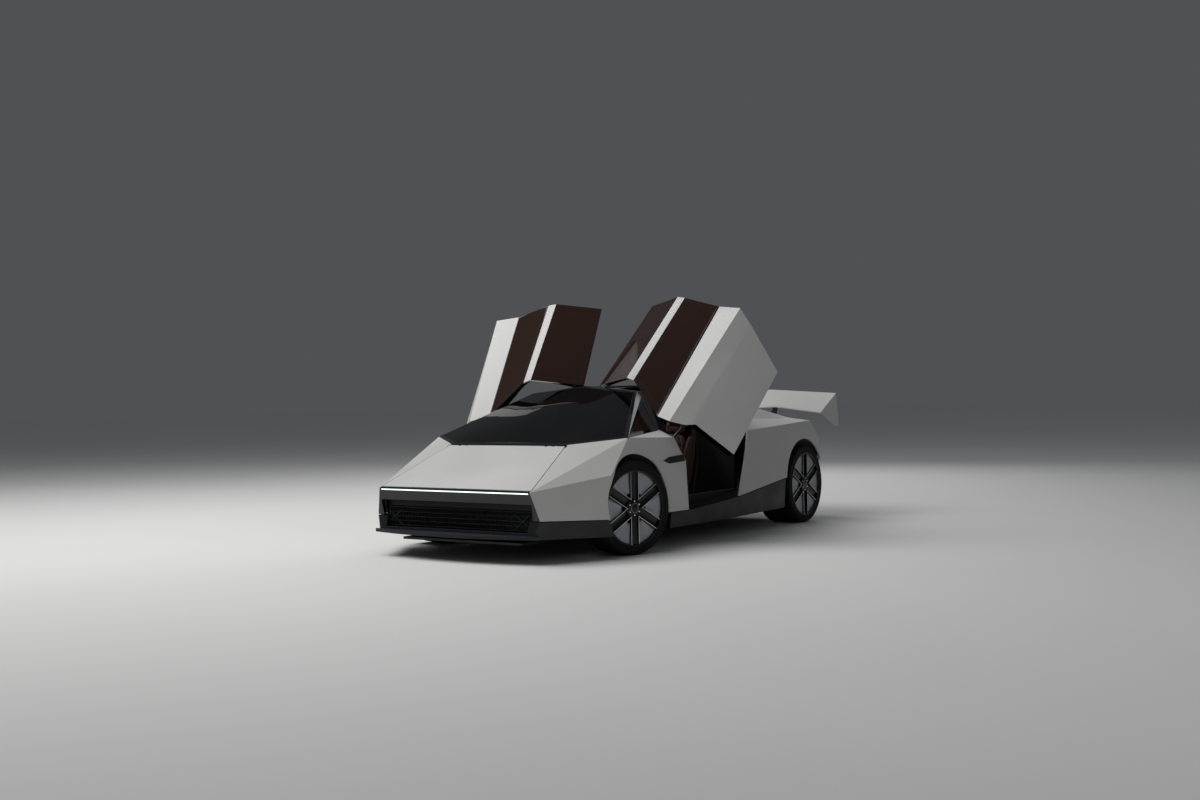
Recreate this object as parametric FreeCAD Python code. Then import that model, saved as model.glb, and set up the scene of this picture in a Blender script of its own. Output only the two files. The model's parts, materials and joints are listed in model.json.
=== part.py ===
import FreeCAD, Part
import math
import os
from FreeCAD import Placement, Rotation, Vector

# A low wedge-shaped supercar with two doors that swing up and take half the roof with them.
# Lengths are millimetres, +X is the car's left, -Y its front, +Z up, and the floor is at z = 0.
# Places along the car are measured from the front axle, and at() moves them to the middle of the car.

# Whole car
wheelbase = 2700
front_overhang = 985
rear_overhang = 830
half_width = 1000
tyre_radius = 335
ground_clearance = 120
crest_height = 815
roof_height = 1210

# Nose and hood
nose_reach = 893
nose_half_width = 678
nose_height = 493
nose_hem_reach = 851
nose_hem_half_width = 731
nose_hem_height = 298
hood_rear_reach = 251
hood_rear_half_width = 530
hood_rear_drop = 28
hood_crown = 14
screen_crown = 12

# Crest, crease and painted hem along each side
foot_y = 17
foot_half_width = 884
foot_rise = 16
crest_half_width = 937
crest_rear_half_width = 953
crest_rear_rise = 15
tail_crest_half_width = 965
tail_crest_back = 140
tail_crest_rise = 68
crease_front_reach = 324
crease_front_half_width = 962
crease_front_height = 583
crease_half_width = 976
crease_height = 685
hem_front_reach = 352
hem_front_height = 280
hem_height = 270
hem_rear_rise = 46
hem_arch_rise = 138
hem_arch_ahead = 444

# Cabin
crest_front_share = 0.207
hem_front_share = 0.246
crest_rear_share = 0.630
hem_rear_share = 0.541
belt_front_share = 0.222
header_share = 0.277
roof_rear_share = 0.640
belt_half_width = 785
belt_rise = 52
belt_rear_half_width = 765
belt_rear_rise = 108
rail_front_ahead = 28
rail_front_half_width = 556
rail_drop = 92
rail_rear_half_width = 512
rail_rear_drop = 76
roof_front_half_width = 500
roof_edge_drop = 50
roof_rear_half_width = 448
roof_rear_edge_drop = 40
roof_rear_rise = 8

# Tail
deck_back = 200
deck_height_drop = 275
deck_side_back = 160
deck_side_half_width = 752
deck_side_rise = 92
deck_shoulder_half_width = 800
deck_shoulder_rise = 86
tail_back = 430
tail_height = 762
tail_side_back = 400
tail_corner_half_width = 780
tail_side_half_width = 968
tail_side_ahead = 310
tail_side_height = 725
back_reach = 490
back_corner_reach = 455
back_half_width = 765
back_side_reach = 345
tail_hem_height = 450

# Wall thicknesses, measured at the side of the body, and gaps
skin = 12
frame_wall = 34
door_wall = 78
lining_wall = 12
lining_margin = 26
lining_swing_gap = 12
shell_drop = 60
shut_gap = 6
seat_gap = 0.3
panel_gap = 3
screen_thickness = 6
pane_thickness = 9
glass_inset = 2
window_border = 26
cut_over = 20

# Share of the wall thickness by which each corner moves inwards, along X, Y and Z
corner_inset_shares = {
    "nose_mid": (0, 1, -1), "nose": (-0.4, 1, -1), "hem0": (-1, 1, 0),
    "hood_mid": (0, 0, -1), "hood": (0, 0, -1), "foot": (-1, 0, -0.8),
    "crease1": (-1, 0, 0), "hem1": (-1, 0, 0),
    "crest2": (-1, 0, -0.8), "crease2": (-1, 0, 0), "hem2": (-1, 0, 0),
    "crest3": (-1, 0, -0.8), "crease3": (-1, 0, 0), "hem3": (-1, 0, 0),
    "crest4": (-1, -0.5, -1), "crease4": (-1, 0, 0), "hem4": (-1, 0, 0),
    "tail_side": (-1, -1, -0.3), "hem5": (-1, -1, 0),
    "belt_front": (-0.7, 0, -0.4), "belt_rear": (-0.7, 0, -0.4),
    "rail_front": (-0.4, 0, -0.42), "rail_rear": (-0.4, 0, -0.42),
    "roof_front": (-0.1, 0, -0.42), "roof_rear": (-0.1, 0, -0.42),
    "spine_front": (0, 0, -0.42), "spine_rear": (0, 0, -0.42),
    "deck0": (0, -0.5, -1), "deck1": (-0.2, -0.5, -1), "deck2": (-0.4, -0.5, -1),
    "tail0": (0, -1, -0.3), "tail1": (-0.4, -1, -0.3),
    "back0": (0, -1, 0), "back1": (-0.4, -1, 0),
}
open_corners = ("hem0", "hem1", "hem2", "hem3", "hem4", "hem5", "back0", "back1")

# Door hinge: a line near the pillar's foot, leaning outwards, forwards and down
hinge_half_width = 800
hinge_share = 0.170
hinge_rise = 28
hinge_lean_share = (0.801, -0.418, -0.428)
door_open_deg = 56.7

# Wheels
front_tyre_width = 255
rear_tyre_width = 315
tyre_inset = 14
rim_radius = 282
rim_wall = 9
tyre_shoulder = 22
tyre_chamfer = 12
rim_lip = 10
spoke_count = 6
spoke_channel = 68
spoke_width = 52
spoke_depth = 24
face_thickness = 9
face_recess = 12
face_radius = 262
plate_inner_radius = 110
hub_radius = 66
hub_cap_radius = 40
hub_length = 66
disc_radius = 186
disc_thickness = 28
disc_from_face = 108
stub_radius = 28
pin_gap = 0.3
front_arch_radius = 382
rear_arch_radius = 393
liner_radius = 404
liner_wall = 6
liner_inner_half_width = 560

# Steering and suspension
steer_half_width = 800
steer_rest_deg = -15
kingpin_radius = 12
kingpin_length = 30
upright_height = 230
upright_width = 80
upright_thickness = 26
caliper_length = 150
caliper_height = 60
caliper_wall = 14
caliper_gap = 5
arm_radius = 13
arm_spread = 150
ear_radius = 24
ear_height = 26
subframe_half_width = 400
subframe_depth = 60
subframe_height = 50
subframe_length = 360

# Lower body, black, from the front splitter round the sills to the diffuser
sill_gap = 6
sill_height = 150
chin_height = 172
low_front_half_width = 690
low_front_reach = 878
low_half_width = 984
low_front_arch_reach = 362
low_arch_height = 160
low_tail_half_width = 935
low_tail_height = 262
low_back_half_width = 735
low_back_reach = 440
valance_wall = 28
sill_depth = 172
sill_front_y = 412
sill_rear_ahead = 412
splitter_thickness = 24
splitter_half_width = 742
splitter_tip_reach = 872
splitter_bow_share = 0.72
splitter_depth = 190
fascia_depth = 58
band_depth = 142
intake_half_width = 604
intake_low_half_width = 640
intake_low_height = 214
intake_blade = 9
intake_blade_depth = 44
intake_post_share = 0.36
light_height = 9
light_below = 5
light_depth = 16
light_margin = 14
lid_front_gap = 24
lid_rear_gap = 20
lid_hinge_half_width = 400
lid_hinge_length = 44
lid_barrel_radius = 8
lid_pin_radius = 4
lid_pin_over = 12

# Door outline and its hinge
door_step_height = 640
door_kink_height = 700
door_crest_margin = 7
door_header_back = 74
door_header_top_back = 102
door_roof_rear_ahead = 25
header_swing_share = 0.32
swing_depth_share = 0.6
spine_half_width = 55
roof_frame = 30
side_glass_front_share = 0.03
side_glass_top_share = 0.12
side_glass_rear_share = 0.985
knuckle_radius = 12
knuckle_length = 40
knuckle_out = 97
hinge_pin_radius = 5
hinge_pin_over = 6
hinge_boss_length = 16
hinge_bracket_radius = 8
hinge_bracket_share = 0.72
hinge_bracket_depth = 31
hinge_arm_radius = 10
hinge_elbow_back = 183
hinge_elbow_drop = 25
hinge_root = 28
rear_header = 34
deck_glass_share = 0.44
deck_border = 40
slat_count = 5
slat_width = 34
slat_lean = 0.25

# Cabin, load tub and inner pieces
floor_thickness = 18
floor_half_width = 800
floor_front_reach = 800
floor_arch_half_width = 540
floor_arch_reach = 430
floor_rear_reach = 300
tub_wall = 24
tub_half_width = 796
tub_height = 350
tub_front_y = 200
tub_foot_half_width = 520
tub_wide_y = 470
bulkhead_height = 700
cabin_rear_share = 0.655
rear_bulkhead_height = 1000
seat_x = 350
seat_width = 460
seat_top_share = 0.5
seat_shoulder_height = 720
seat_back_y = 1610
seat_front_y = 1020
seat_low = 178
seat_thickness = 130
seat_front_height = 360
seat_back_top = 1030
seat_back_lean = 190
seat_back_thickness = 110
dash_half_width = 700
dash_front_y = 470
dash_rear_y = 760
dash_top = 800
dash_depth = 190
dash_nose = 90
console_half_width = 95
console_front_y = 740
console_rear_y = 1560
console_height = 430
console_front_height = 560
column_radius = 22
column_length = 120
column_y = 790
column_z = 735
column_lean_deg = 22
hand_wheel_radius = 172
hand_grip_radius = 14
hand_grip_sides = 8
hand_boss_radius = 44
hand_boss_length = 30
hand_spoke_width = 26
drive_half_width = 330
drive_front_share = 0.69
drive_rear_back = 90
drive_height = 600
load_half_width = 430
load_front_reach = 790
load_rear_reach = 300
load_floor = 235
load_wall = 8
load_rim_drop = 40
load_foot_back = 130

# Wing and tail
wing_half_width = 905
wing_front_back = 500
wing_rear_back = 830
wing_mid_share = 0.27
wing_outer_share = 0.5
wing_front_height = 990
wing_front_outer_rise = 16
wing_front_tip_drop = 56
wing_rear_height = 1158
wing_rear_tip_drop = 40
wing_front_thickness = 12
wing_rear_thickness = 26
plate_thickness = 14
plate_out = 62
plate_low_height = 820
plate_low_front = 690
plate_low_rear = 745
pylon_x = 420
pylon_thickness = 16
pylon_low_back = 330
pylon_length = 130
tail_light_height = 12
tail_light_drop = 34
tail_light_margin = 60
diffuser_fins = 5
fin_thickness = 10
fin_length = 230


def along(share):
    """Distance behind the front axle that is a share of the wheelbase."""
    return share * wheelbase


middle_y = (wheelbase + rear_overhang - front_overhang) / 2


def at(x, y, z):
    """A point given from the front axle, moved so that the car's middle is the origin."""
    return Vector(x, y - middle_y, z)


rear_axle_y = wheelbase
rail_height = roof_height - rail_drop
corners = {
    "nose_mid": (0, -nose_reach, nose_height),
    "nose": (nose_half_width, -nose_reach, nose_height),
    "hem0": (nose_hem_half_width, -nose_hem_reach, nose_hem_height),
    "hood_mid": (0, -hood_rear_reach, crest_height - hood_rear_drop),
    "hood": (hood_rear_half_width, -hood_rear_reach, crest_height - hood_rear_drop),
    "foot": (foot_half_width, foot_y, crest_height + foot_rise),
    "crease1": (crease_front_half_width, -crease_front_reach, crease_front_height),
    "hem1": (half_width, -hem_front_reach, hem_front_height),
    "crest2": (crest_half_width, along(crest_front_share), crest_height),
    "crease2": (crease_half_width, along((crest_front_share + hem_front_share) / 2), crease_height),
    "hem2": (half_width, along(hem_front_share), hem_height),
    "crest3": (crest_rear_half_width, along(crest_rear_share), crest_height + crest_rear_rise),
    "crease3": (crease_half_width, along((crest_rear_share * 2 + hem_rear_share) / 3), crease_height),
    "hem3": (half_width, along(hem_rear_share), hem_height + hem_rear_rise),
    "crest4": (tail_crest_half_width, rear_axle_y + tail_crest_back, crest_height + tail_crest_rise),
    "crease4": (crease_half_width, rear_axle_y - tail_crest_back, crease_height),
    "hem4": (half_width, rear_axle_y - hem_arch_ahead, hem_height + hem_arch_rise),
    "tail_side": (tail_side_half_width, rear_axle_y + tail_side_ahead, tail_side_height),
    "hem5": (tail_side_half_width, rear_axle_y + back_side_reach, tail_hem_height),
    "belt_front": (belt_half_width, along(belt_front_share), crest_height + belt_rise),
    "belt_rear": (belt_rear_half_width, along(crest_rear_share), crest_height + belt_rear_rise),
    "rail_front": (rail_front_half_width, along(header_share) - rail_front_ahead, rail_height),
    "rail_rear": (rail_rear_half_width, along(roof_rear_share), roof_height - rail_rear_drop),
    "roof_front": (roof_front_half_width, along(header_share), roof_height - roof_edge_drop),
    "roof_rear": (roof_rear_half_width, along(roof_rear_share), roof_height - roof_rear_edge_drop),
    "spine_front": (0, along(header_share), roof_height),
    "spine_rear": (0, along(roof_rear_share), roof_height + roof_rear_rise),
    "deck0": (0, rear_axle_y + deck_back, roof_height - deck_height_drop),
    "deck1": (deck_side_half_width, rear_axle_y + deck_side_back, crest_height + deck_side_rise),
    "deck2": (deck_shoulder_half_width, rear_axle_y + deck_side_back, crest_height + deck_shoulder_rise),
    "tail0": (0, rear_axle_y + tail_back, tail_height),
    "tail1": (tail_corner_half_width, rear_axle_y + tail_side_back, tail_height),
    "back0": (0, rear_axle_y + back_reach, tail_hem_height),
    "back1": (back_half_width, rear_axle_y + back_corner_reach, tail_hem_height),
}

# Facets of one side, each a triangle, or four corners of which a crowned one starts on the middle line
side_facets = [
    ("nose", "crease1", "foot"), ("nose", "hem0", "hem1", "crease1"), ("nose", "foot", "hood"),
    ("foot", "crease1", "crease2", "crest2"), ("crease1", "hem1", "hem2", "crease2"),
    ("crest2", "crease2", "crease3", "crest3"), ("crease2", "hem2", "hem3", "crease3"),
    ("crest3", "crease3", "crease4", "crest4"), ("crease3", "hem3", "hem4", "crease4"),
    ("crest4", "crease4", "tail_side"), ("crease4", "hem4", "hem5", "tail_side"),
    ("foot", "crest2", "belt_front"), ("crest2", "crest3", "belt_rear", "belt_front"),
    ("foot", "belt_front", "rail_front"), ("belt_front", "belt_rear", "rail_rear", "rail_front"),
    ("foot", "rail_front", "roof_front"), ("rail_front", "rail_rear", "roof_rear", "roof_front"),
    ("hood", "foot", "roof_front"), ("spine_front", "roof_front", "roof_rear", "spine_rear"),
    ("spine_rear", "roof_rear", "deck1", "deck0"), ("roof_rear", "rail_rear", "deck1"),
    ("rail_rear", "belt_rear", "deck2", "deck1"), ("belt_rear", "crest3", "crest4", "deck2"),
    ("deck0", "deck1", "tail1", "tail0"), ("deck1", "deck2", "tail1"),
    ("deck2", "crest4", "tail_side", "tail1"), ("tail0", "tail1", "back1", "back0"),
    ("tail1", "tail_side", "hem5", "back1"),
]
crowned_facets = [("nose_mid", "nose", "hood", "hood_mid", hood_crown),
                  ("hood_mid", "hood", "roof_front", "spine_front", screen_crown)]
level_facets = [
    ("nose_mid", "nose", "hem0", "-hem0", "-nose"), ("hem0", "hem1", "-hem1", "-hem0"),
    ("hem1", "hem2", "-hem2", "-hem1"), ("hem2", "hem3", "-hem3", "-hem2"),
    ("hem3", "hem4", "-hem4", "-hem3"), ("hem4", "hem5", "-hem5", "-hem4"),
    ("hem5", "back1", "back0", "-back1", "-hem5"),
]
crown_steps = 6


def corner(name, inset=0, drop=0):
    """One corner of the body, moved inwards by its shares of the inset; a leading - mirrors it."""
    plain = name.lstrip("-")
    x, y, z = corners[plain]
    share_x, share_y, share_z = corner_inset_shares[plain]
    side = -1 if name.startswith("-") else 1
    low = drop if plain in open_corners else 0
    return at(side * (x + share_x * inset), y + share_y * inset, z + share_z * inset - low)


def polygon(points):
    """A flat face inside a closed loop of points."""
    return Part.Face(Part.makePolygon(points + points[:1]))


def ruled(a, b, c, d):
    """A four-cornered facet, flat if its corners are, and gently twisted if they are not."""
    return Part.makeRuledSurface(Part.makeLine(a, b), Part.makeLine(d, c))


def crowned(a, b, c, d, rise):
    """Half of a panel that is domed across the car: a and d lie on its middle line, b and c at its side."""
    normal = (b - a).cross(d - a).normalize()
    if normal.z < 0:
        normal = normal * -1
    rows = []
    for i in range(crown_steps):
        u = i / (crown_steps - 1)
        row = []
        for j in range(crown_steps):
            v = j / (crown_steps - 1)
            base = a * ((1 - u) * (1 - v)) + b * (u * (1 - v)) + c * (u * v) + d * ((1 - u) * v)
            row.append(base + normal * (rise * (1 - u * u) * 4 * v * (1 - v)))
        rows.append(row)
    surface = Part.BSplineSurface()
    surface.interpolate(rows)
    return surface.toShape()


def solid_of(faces):
    """The closed solid inside a set of faces."""
    shell = Part.makeShell(faces)
    shell.sewShape()
    solid = Part.Solid(shell)
    if solid.Volume < 0:
        solid.reverse()
    return solid


def mirror_name(name):
    """The name of the same corner on the other side of the car."""
    return name[1:] if name.startswith("-") else "-" + name


def body_solid(inset=0, drop=0):
    """The closed upper body, drawn in by the inset, with its open underside moved down by the drop."""
    faces = []
    for facet in level_facets:
        faces.append(polygon([corner(name, inset, drop) for name in facet]))
    for mirrored_side in (False, True):
        for facet in side_facets:
            names = [mirror_name(name) for name in facet] if mirrored_side else facet
            points = [corner(name, inset, drop) for name in names]
            faces.append(polygon(points) if len(points) == 3 else ruled(*points))
        for facet in crowned_facets:
            names = [mirror_name(name) for name in facet[:4]] if mirrored_side else facet[:4]
            faces.append(crowned(*[corner(name, inset, drop) for name in names], facet[4]))
    return solid_of(faces)


def block(x0, x1, y0, y1, z0, z1):
    """A box between two corners, with y from the front axle."""
    return Part.makeBox(x1 - x0, y1 - y0, z1 - z0, at(x0, y0, z0))


def side_prism(outline, x0, x1):
    """A solid with an outline in the side view, given as (y, z) from the front axle."""
    points = [at(x0, y, z) for y, z in outline]
    return polygon(points).extrude(Vector(x1 - x0, 0, 0))


def plan_prism(outline, z0, z1):
    """A solid with an outline in the plan view, given as (x, y) from the front axle."""
    points = [at(x, y, z0) for x, y in outline]
    return polygon(points).extrude(Vector(0, 0, z1 - z0))


def rod(start, end, radius):
    """A round bar between two points."""
    line = end - start
    return Part.makeCylinder(radius, line.Length, start, line)


def mirrored(shape):
    """The same piece on the other side of the car."""
    return shape.mirror(Vector(0, 0, 0), Vector(1, 0, 0))


def largest(shape):
    """The biggest solid of a shape, without slivers that a cut left."""
    return max(shape.Solids, key=lambda solid: solid.Volume)


def pane_prism(points, border, reach):
    """A solid that runs through a facet square to it, its sides inside the facet's edges by the border."""
    face = polygon(flattened(points))
    inner = face.makeOffset2D(-border) if border else face
    normal = face.normalAt(0, 0)
    inner.translate(normal * -reach)
    return inner.extrude(normal * (2 * reach))


def flattened(points):
    """The points moved along its normal onto the plane that fits a nearly flat facet."""
    normal = (points[2] - points[0]).cross(points[-1] - points[1]).normalize()
    centre = Vector(0, 0, 0)
    for point in points:
        centre = centre + point * (1 / len(points))
    return [point - normal * (point - centre).dot(normal) for point in points]


body_outer = body_solid()
skin_shell = body_outer.cut(body_solid(skin, shell_drop))
frame_shell = body_outer.cut(body_solid(frame_wall, shell_drop))
door_shell = body_outer.cut(body_solid(door_wall, shell_drop))
screen_sheet = body_solid(glass_inset).cut(body_solid(glass_inset + screen_thickness, shell_drop))
pane_sheet = body_solid(glass_inset).cut(body_solid(glass_inset + pane_thickness, shell_drop))
hinge_axis = Vector(*hinge_lean_share).normalize()
hinge_point = at(hinge_half_width, along(hinge_share), crest_height + hinge_rise)
top = roof_height + shell_drop


def place(name):
    """The corner's own x, y and z from the front axle."""
    return corners[name]


def door_outline():
    """The door's shut line in the side view, as (y, z) from the front axle."""
    hem_y, rear_y, rear_z = place("hem2")[1], place("hem3")[1], place("hem3")[2]
    slope = (place("crest3")[1] - rear_y) / (place("crest3")[2] - rear_z)
    low = sill_height
    return [
        (hem_y, low), (hem_y, door_step_height), (place("crease2")[1], door_kink_height),
        (place("crest2")[1] + door_crest_margin, place("crest2")[2]),
        (place("belt_front")[1] + door_crest_margin, place("belt_front")[2]),
        (place("roof_front")[1] + door_header_back, rail_height),
        (place("roof_front")[1] + door_header_top_back, top),
        (place("roof_rear")[1] - door_roof_rear_ahead, top),
        (place("crest3")[1], place("crest3")[2]), (rear_y, rear_z), (rear_y - slope * (rear_z - low), low),
    ]


def door_space(gap):
    """The space of the left door, smaller than its shut line by the gap all round."""
    inside = spine_half_width + gap
    face = polygon([at(inside, y, z) for y, z in door_outline()])
    face = face.makeOffset2D(-gap) if gap else face
    return face.extrude(Vector(half_width + cut_over - inside, 0, 0))


def header_edge(x, z):
    """A point of the shut line across the header, at a half width and a height."""
    front_y = place("roof_front")[1]
    share = (z - rail_height) / (top - rail_height)
    return at(x, front_y + door_header_back + (door_header_top_back - door_header_back) * share, z)


def shut_line():
    """Corners of the front shut line that the opening door slides past, from the crest up to the roof."""
    crest_x, crest_y, crest_z = place("crest2")
    belt_x, belt_y, belt_z = place("belt_front")
    roof_x, roof_z = place("roof_front")[0], place("roof_front")[2]
    near_x = roof_x * header_swing_share
    near_z = roof_height - roof_edge_drop * header_swing_share
    return [at(crest_x, crest_y + door_crest_margin, crest_z), at(belt_x, belt_y + door_crest_margin, belt_z),
            header_edge(rail_front_half_width, rail_height), header_edge(roof_x, roof_z),
            header_edge(near_x, near_z)]


def swing_sweep(first, second, gap):
    """What a stretch of the front shut line, moved back by the gap, sweeps as seen from the swinging door."""
    rims = [point + Vector(0, gap, 0) for point in (first, second)]
    inner = []
    for rim in rims:
        on_axis = hinge_point + hinge_axis * (rim - hinge_point).dot(hinge_axis)
        inner.append(rim + (on_axis - rim) * swing_depth_share)
    sweep = ruled(rims[0], rims[1], inner[1], inner[0]).revolve(hinge_point, hinge_axis, -door_open_deg)
    solid = sweep.Solids[0]
    if solid.Volume < 0:
        solid.reverse()
    return solid


def swung_clear(shape, gap):
    """A closed door's piece with its front shut faces slanted so that it swings clear of the body."""
    line = shut_line()
    for first, second in zip(line, line[1:]):
        shape = shape.cut(swing_sweep(first, second, gap))
    return shape


def arch(y, radius, x0):
    """The round wheel opening that runs out through the left side at an axle."""
    return rod(at(x0, y, tyre_radius), at(half_width + cut_over, y, tyre_radius), radius)


def plan_points(names):
    """The x and y of corners, left side first and then mirrored in reverse order."""
    left = [place(name)[:2] for name in names]
    right = [(-x, y) for x, y in reversed(left) if x > 0]
    return left + right


def plan_region(outline, gap=0):
    """A prism over the whole height with a plan outline that is moved outwards by the gap."""
    face = polygon([at(x, y, 0) for x, y in outline])
    face = face.makeOffset2D(gap) if gap else face
    return face.extrude(Vector(0, 0, top))


def lid_plan():
    """Plan outline of the hood: back to the cowl, forward to the light bar."""
    nose_x, nose_y = place("nose")[:2]
    hood_x, hood_y = place("hood")[:2]
    share = lid_front_gap / (hood_y - nose_y)
    front_x = nose_x + (hood_x - nose_x) * share
    rear = lid_rear_gap / (hood_y - nose_y)
    rear_x = hood_x + (nose_x - hood_x) * rear
    y0, y1 = nose_y + lid_front_gap, hood_y - lid_rear_gap
    return [(front_x, y0), (rear_x, y1), (-rear_x, y1), (-front_x, y0)]


def lid_hinge_line():
    """Height and place of the hood's hinge pins, inside the thickness of its rear edge."""
    y = place("hood")[1] - lid_rear_gap / 2
    z = place("hood")[2] - lid_rear_gap / 2 - lid_barrel_radius
    return y, z


def screen_plan():
    """Plan outline of the pillars, header, roof spine and rear header."""
    rear_y = place("roof_rear")[1]
    left = [place("hood")[:2], place("foot")[:2], place("belt_front")[:2],
            (belt_half_width, place("roof_front")[1] + door_header_top_back),
            (rail_rear_half_width, rear_y - door_roof_rear_ahead),
            (rail_rear_half_width, rear_y + rear_header)]
    return left + [(-x, y) for x, y in reversed(left)]


def deck_plan():
    """Plan outline of the engine cover between the two white buttresses."""
    rear_x, rear_y = place("roof_rear")[:2]
    side_x, side_y = place("deck1")[:2]
    start = rear_y + rear_header
    share = rear_header / (side_y - rear_y)
    start_x = rear_x + (side_x - rear_x) * share
    return [(start_x, start), (side_x, side_y), (0, place("deck0")[1]), (-side_x, side_y), (-start_x, start)]


def glass_plan():
    """Plan outline of the windscreen glass facets."""
    return plan_points(["hood", "foot", "roof_front", "spine_front"])


def deck_glass_plan():
    """Plan outline of the rear window in the front of the engine cover."""
    outline = deck_plan()
    (x0, y0), (x1, y1) = outline[0], outline[1]
    x2 = x0 + (x1 - x0) * deck_glass_share
    y2 = y0 + (y1 - y0) * deck_glass_share
    return [(x0, y0), (x2, y2), (-x2, y2), (-x0, y0)]


def front_prism(outline, y0, y1):
    """A solid with an outline in the front view, given as (x, z)."""
    return polygon([at(x, y0, z) for x, z in outline]).extrude(Vector(0, y1 - y0, 0))


def fascia_outline():
    """The black front panel between the corners of the fenders, in the front view."""
    x0, z0 = nose_half_width, nose_height + cut_over
    x1, z1 = nose_hem_half_width, nose_hem_height
    slope = (x1 - x0) / (nose_height - z1)
    return [(x0 - slope * cut_over, z0), (x1 + slope * cut_over, z1 - cut_over),
            (-x1 - slope * cut_over, z1 - cut_over), (-x0 + slope * cut_over, z0)]


def fascia_space(gap):
    """The space of the front panel, larger by the gap."""
    face = polygon([at(x, -front_overhang, z) for x, z in fascia_outline()])
    face = face.makeOffset2D(gap) if gap else face
    return face.extrude(Vector(0, front_overhang - nose_reach + fascia_depth + gap, 0))


def fender():
    """Left front corner: hood side, crest, creased side and arch, back to the door."""
    front = block(0, half_width + cut_over, -front_overhang, place("hem2")[1] + cut_over, 0, top)
    shape = skin_shell.common(front).cut(door_space(0))
    shape = shape.cut(plan_region(screen_plan(), panel_gap)).cut(plan_region(lid_plan(), shut_gap))
    shape = shape.cut(fascia_space(seat_gap)).cut(arch(0, front_arch_radius, 0))
    cowl = block(0, hood_rear_half_width + lid_rear_gap, place("hood")[1] - lid_rear_gap - cut_over,
                 place("hood")[1], place("hood")[2] - lid_rear_gap * 2, top)
    return largest(shape.cut(cowl))


def front_fascia():
    """Gloss band under the light bar, with the intake's upper frame, blades and posts."""
    shape = frame_shell.common(fascia_space(0))
    shape = shape.cut(plan_region(lid_plan(), shut_gap))
    band_z = nose_height - band_depth
    low_z = nose_hem_height - cut_over
    opening = front_prism([(intake_half_width, band_z), (intake_low_half_width, low_z),
                           (-intake_low_half_width, low_z), (-intake_half_width, band_z)],
                          -front_overhang, -nose_reach + fascia_depth + cut_over)
    shape = largest(shape.cut(opening))
    y0 = -nose_hem_reach + frame_wall
    posts = []
    for share in (-intake_post_share * 2, -intake_post_share, 0, intake_post_share, intake_post_share * 2):
        x = share * intake_half_width
        posts.append(block(x - intake_blade / 2, x + intake_blade / 2, y0 - intake_blade_depth / 2, y0,
                           nose_hem_height, band_z + frame_wall / 2))
    blade_z = (band_z + nose_hem_height) / 2
    posts.append(block(-intake_half_width - frame_wall / 2, intake_half_width + frame_wall / 2,
                       y0 - intake_blade_depth, y0, blade_z, blade_z + intake_blade))
    shape = shape.fuse(posts).cut(light_slot(0))
    return largest(shape)


def light_slot(gap):
    """The narrow slot of the light bar under the hood's front edge."""
    z1 = nose_height - light_below - gap
    z0 = z1 - light_height + gap * 2
    half = nose_half_width - light_margin - gap
    return block(-half, half, -front_overhang, -nose_reach + light_depth - gap, z0, z1)


def light_bar():
    """The full-width light under the hood's front edge."""
    return largest(body_solid(glass_inset / 2).common(light_slot(seat_gap)))


lower_corners = {
    "low0": (low_front_half_width, -low_front_reach, chin_height),
    "low1": (low_half_width, -low_front_arch_reach, low_arch_height),
    "low2": (low_half_width, place("hem2")[1], sill_height),
    "low3": (low_half_width, place("hem3")[1], sill_height),
    "low4": (low_half_width, place("hem4")[1], low_arch_height),
    "low5": (low_tail_half_width, place("hem5")[1], low_tail_height),
    "low_back1": (low_back_half_width, rear_axle_y + low_back_reach, low_tail_height),
    "low_back0": (0, rear_axle_y + low_back_reach, low_tail_height),
}
lower_pairs = [("hem0", "low0"), ("hem1", "low1"), ("hem2", "low2"), ("hem3", "low3"), ("hem4", "low4"),
               ("hem5", "low5"), ("back1", "low_back1"), ("back0", "low_back0")]


def lower_corner(name, side, inset, over):
    """One corner of the lower body; over opens its top and underside."""
    high = name in corners
    x, y, z = corners[name] if high else lower_corners[name]
    share_x, share_y = corner_inset_shares[name][:2] if high else (-1, 0)
    if name in ("low0",):
        share_y = 1
    if name in ("low5", "low_back1", "low_back0"):
        share_y = -1
    share_x = 0 if x == 0 else share_x
    lift = over - sill_gap if high else -over
    return at(side * (x + share_x * inset), y + share_y * inset, z + lift)


def lower_solid(inset=0, over=0):
    """The closed lower body between the painted hem and the underside."""
    faces = []
    for (high, low), (next_high, next_low) in zip(lower_pairs, lower_pairs[1:]):
        for side in (1, -1):
            names = (high, next_high, next_low, low)
            faces.append(ruled(*[lower_corner(name, side, inset, over) for name in names]))
        if next_high != "back0":
            for a, b in ((high, next_high), (low, next_low)):
                faces.append(polygon([lower_corner(a, 1, inset, over), lower_corner(b, 1, inset, over),
                                      lower_corner(b, -1, inset, over), lower_corner(a, -1, inset, over)]))
    for a, b in (("back1", "back0"), ("low_back1", "low_back0")):
        faces.append(polygon([lower_corner(a, 1, inset, over), lower_corner(b, 1, inset, over),
                              lower_corner(a, -1, inset, over)]))
    for a, b in (("hem0", "low0"),):
        faces.append(polygon([lower_corner(a, 1, inset, over), lower_corner(a, -1, inset, over),
                              lower_corner(b, -1, inset, over), lower_corner(b, 1, inset, over)]))
    return solid_of(faces)


lower_outer = lower_solid()
lower_inner = lower_solid(valance_wall, shell_drop)


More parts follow.
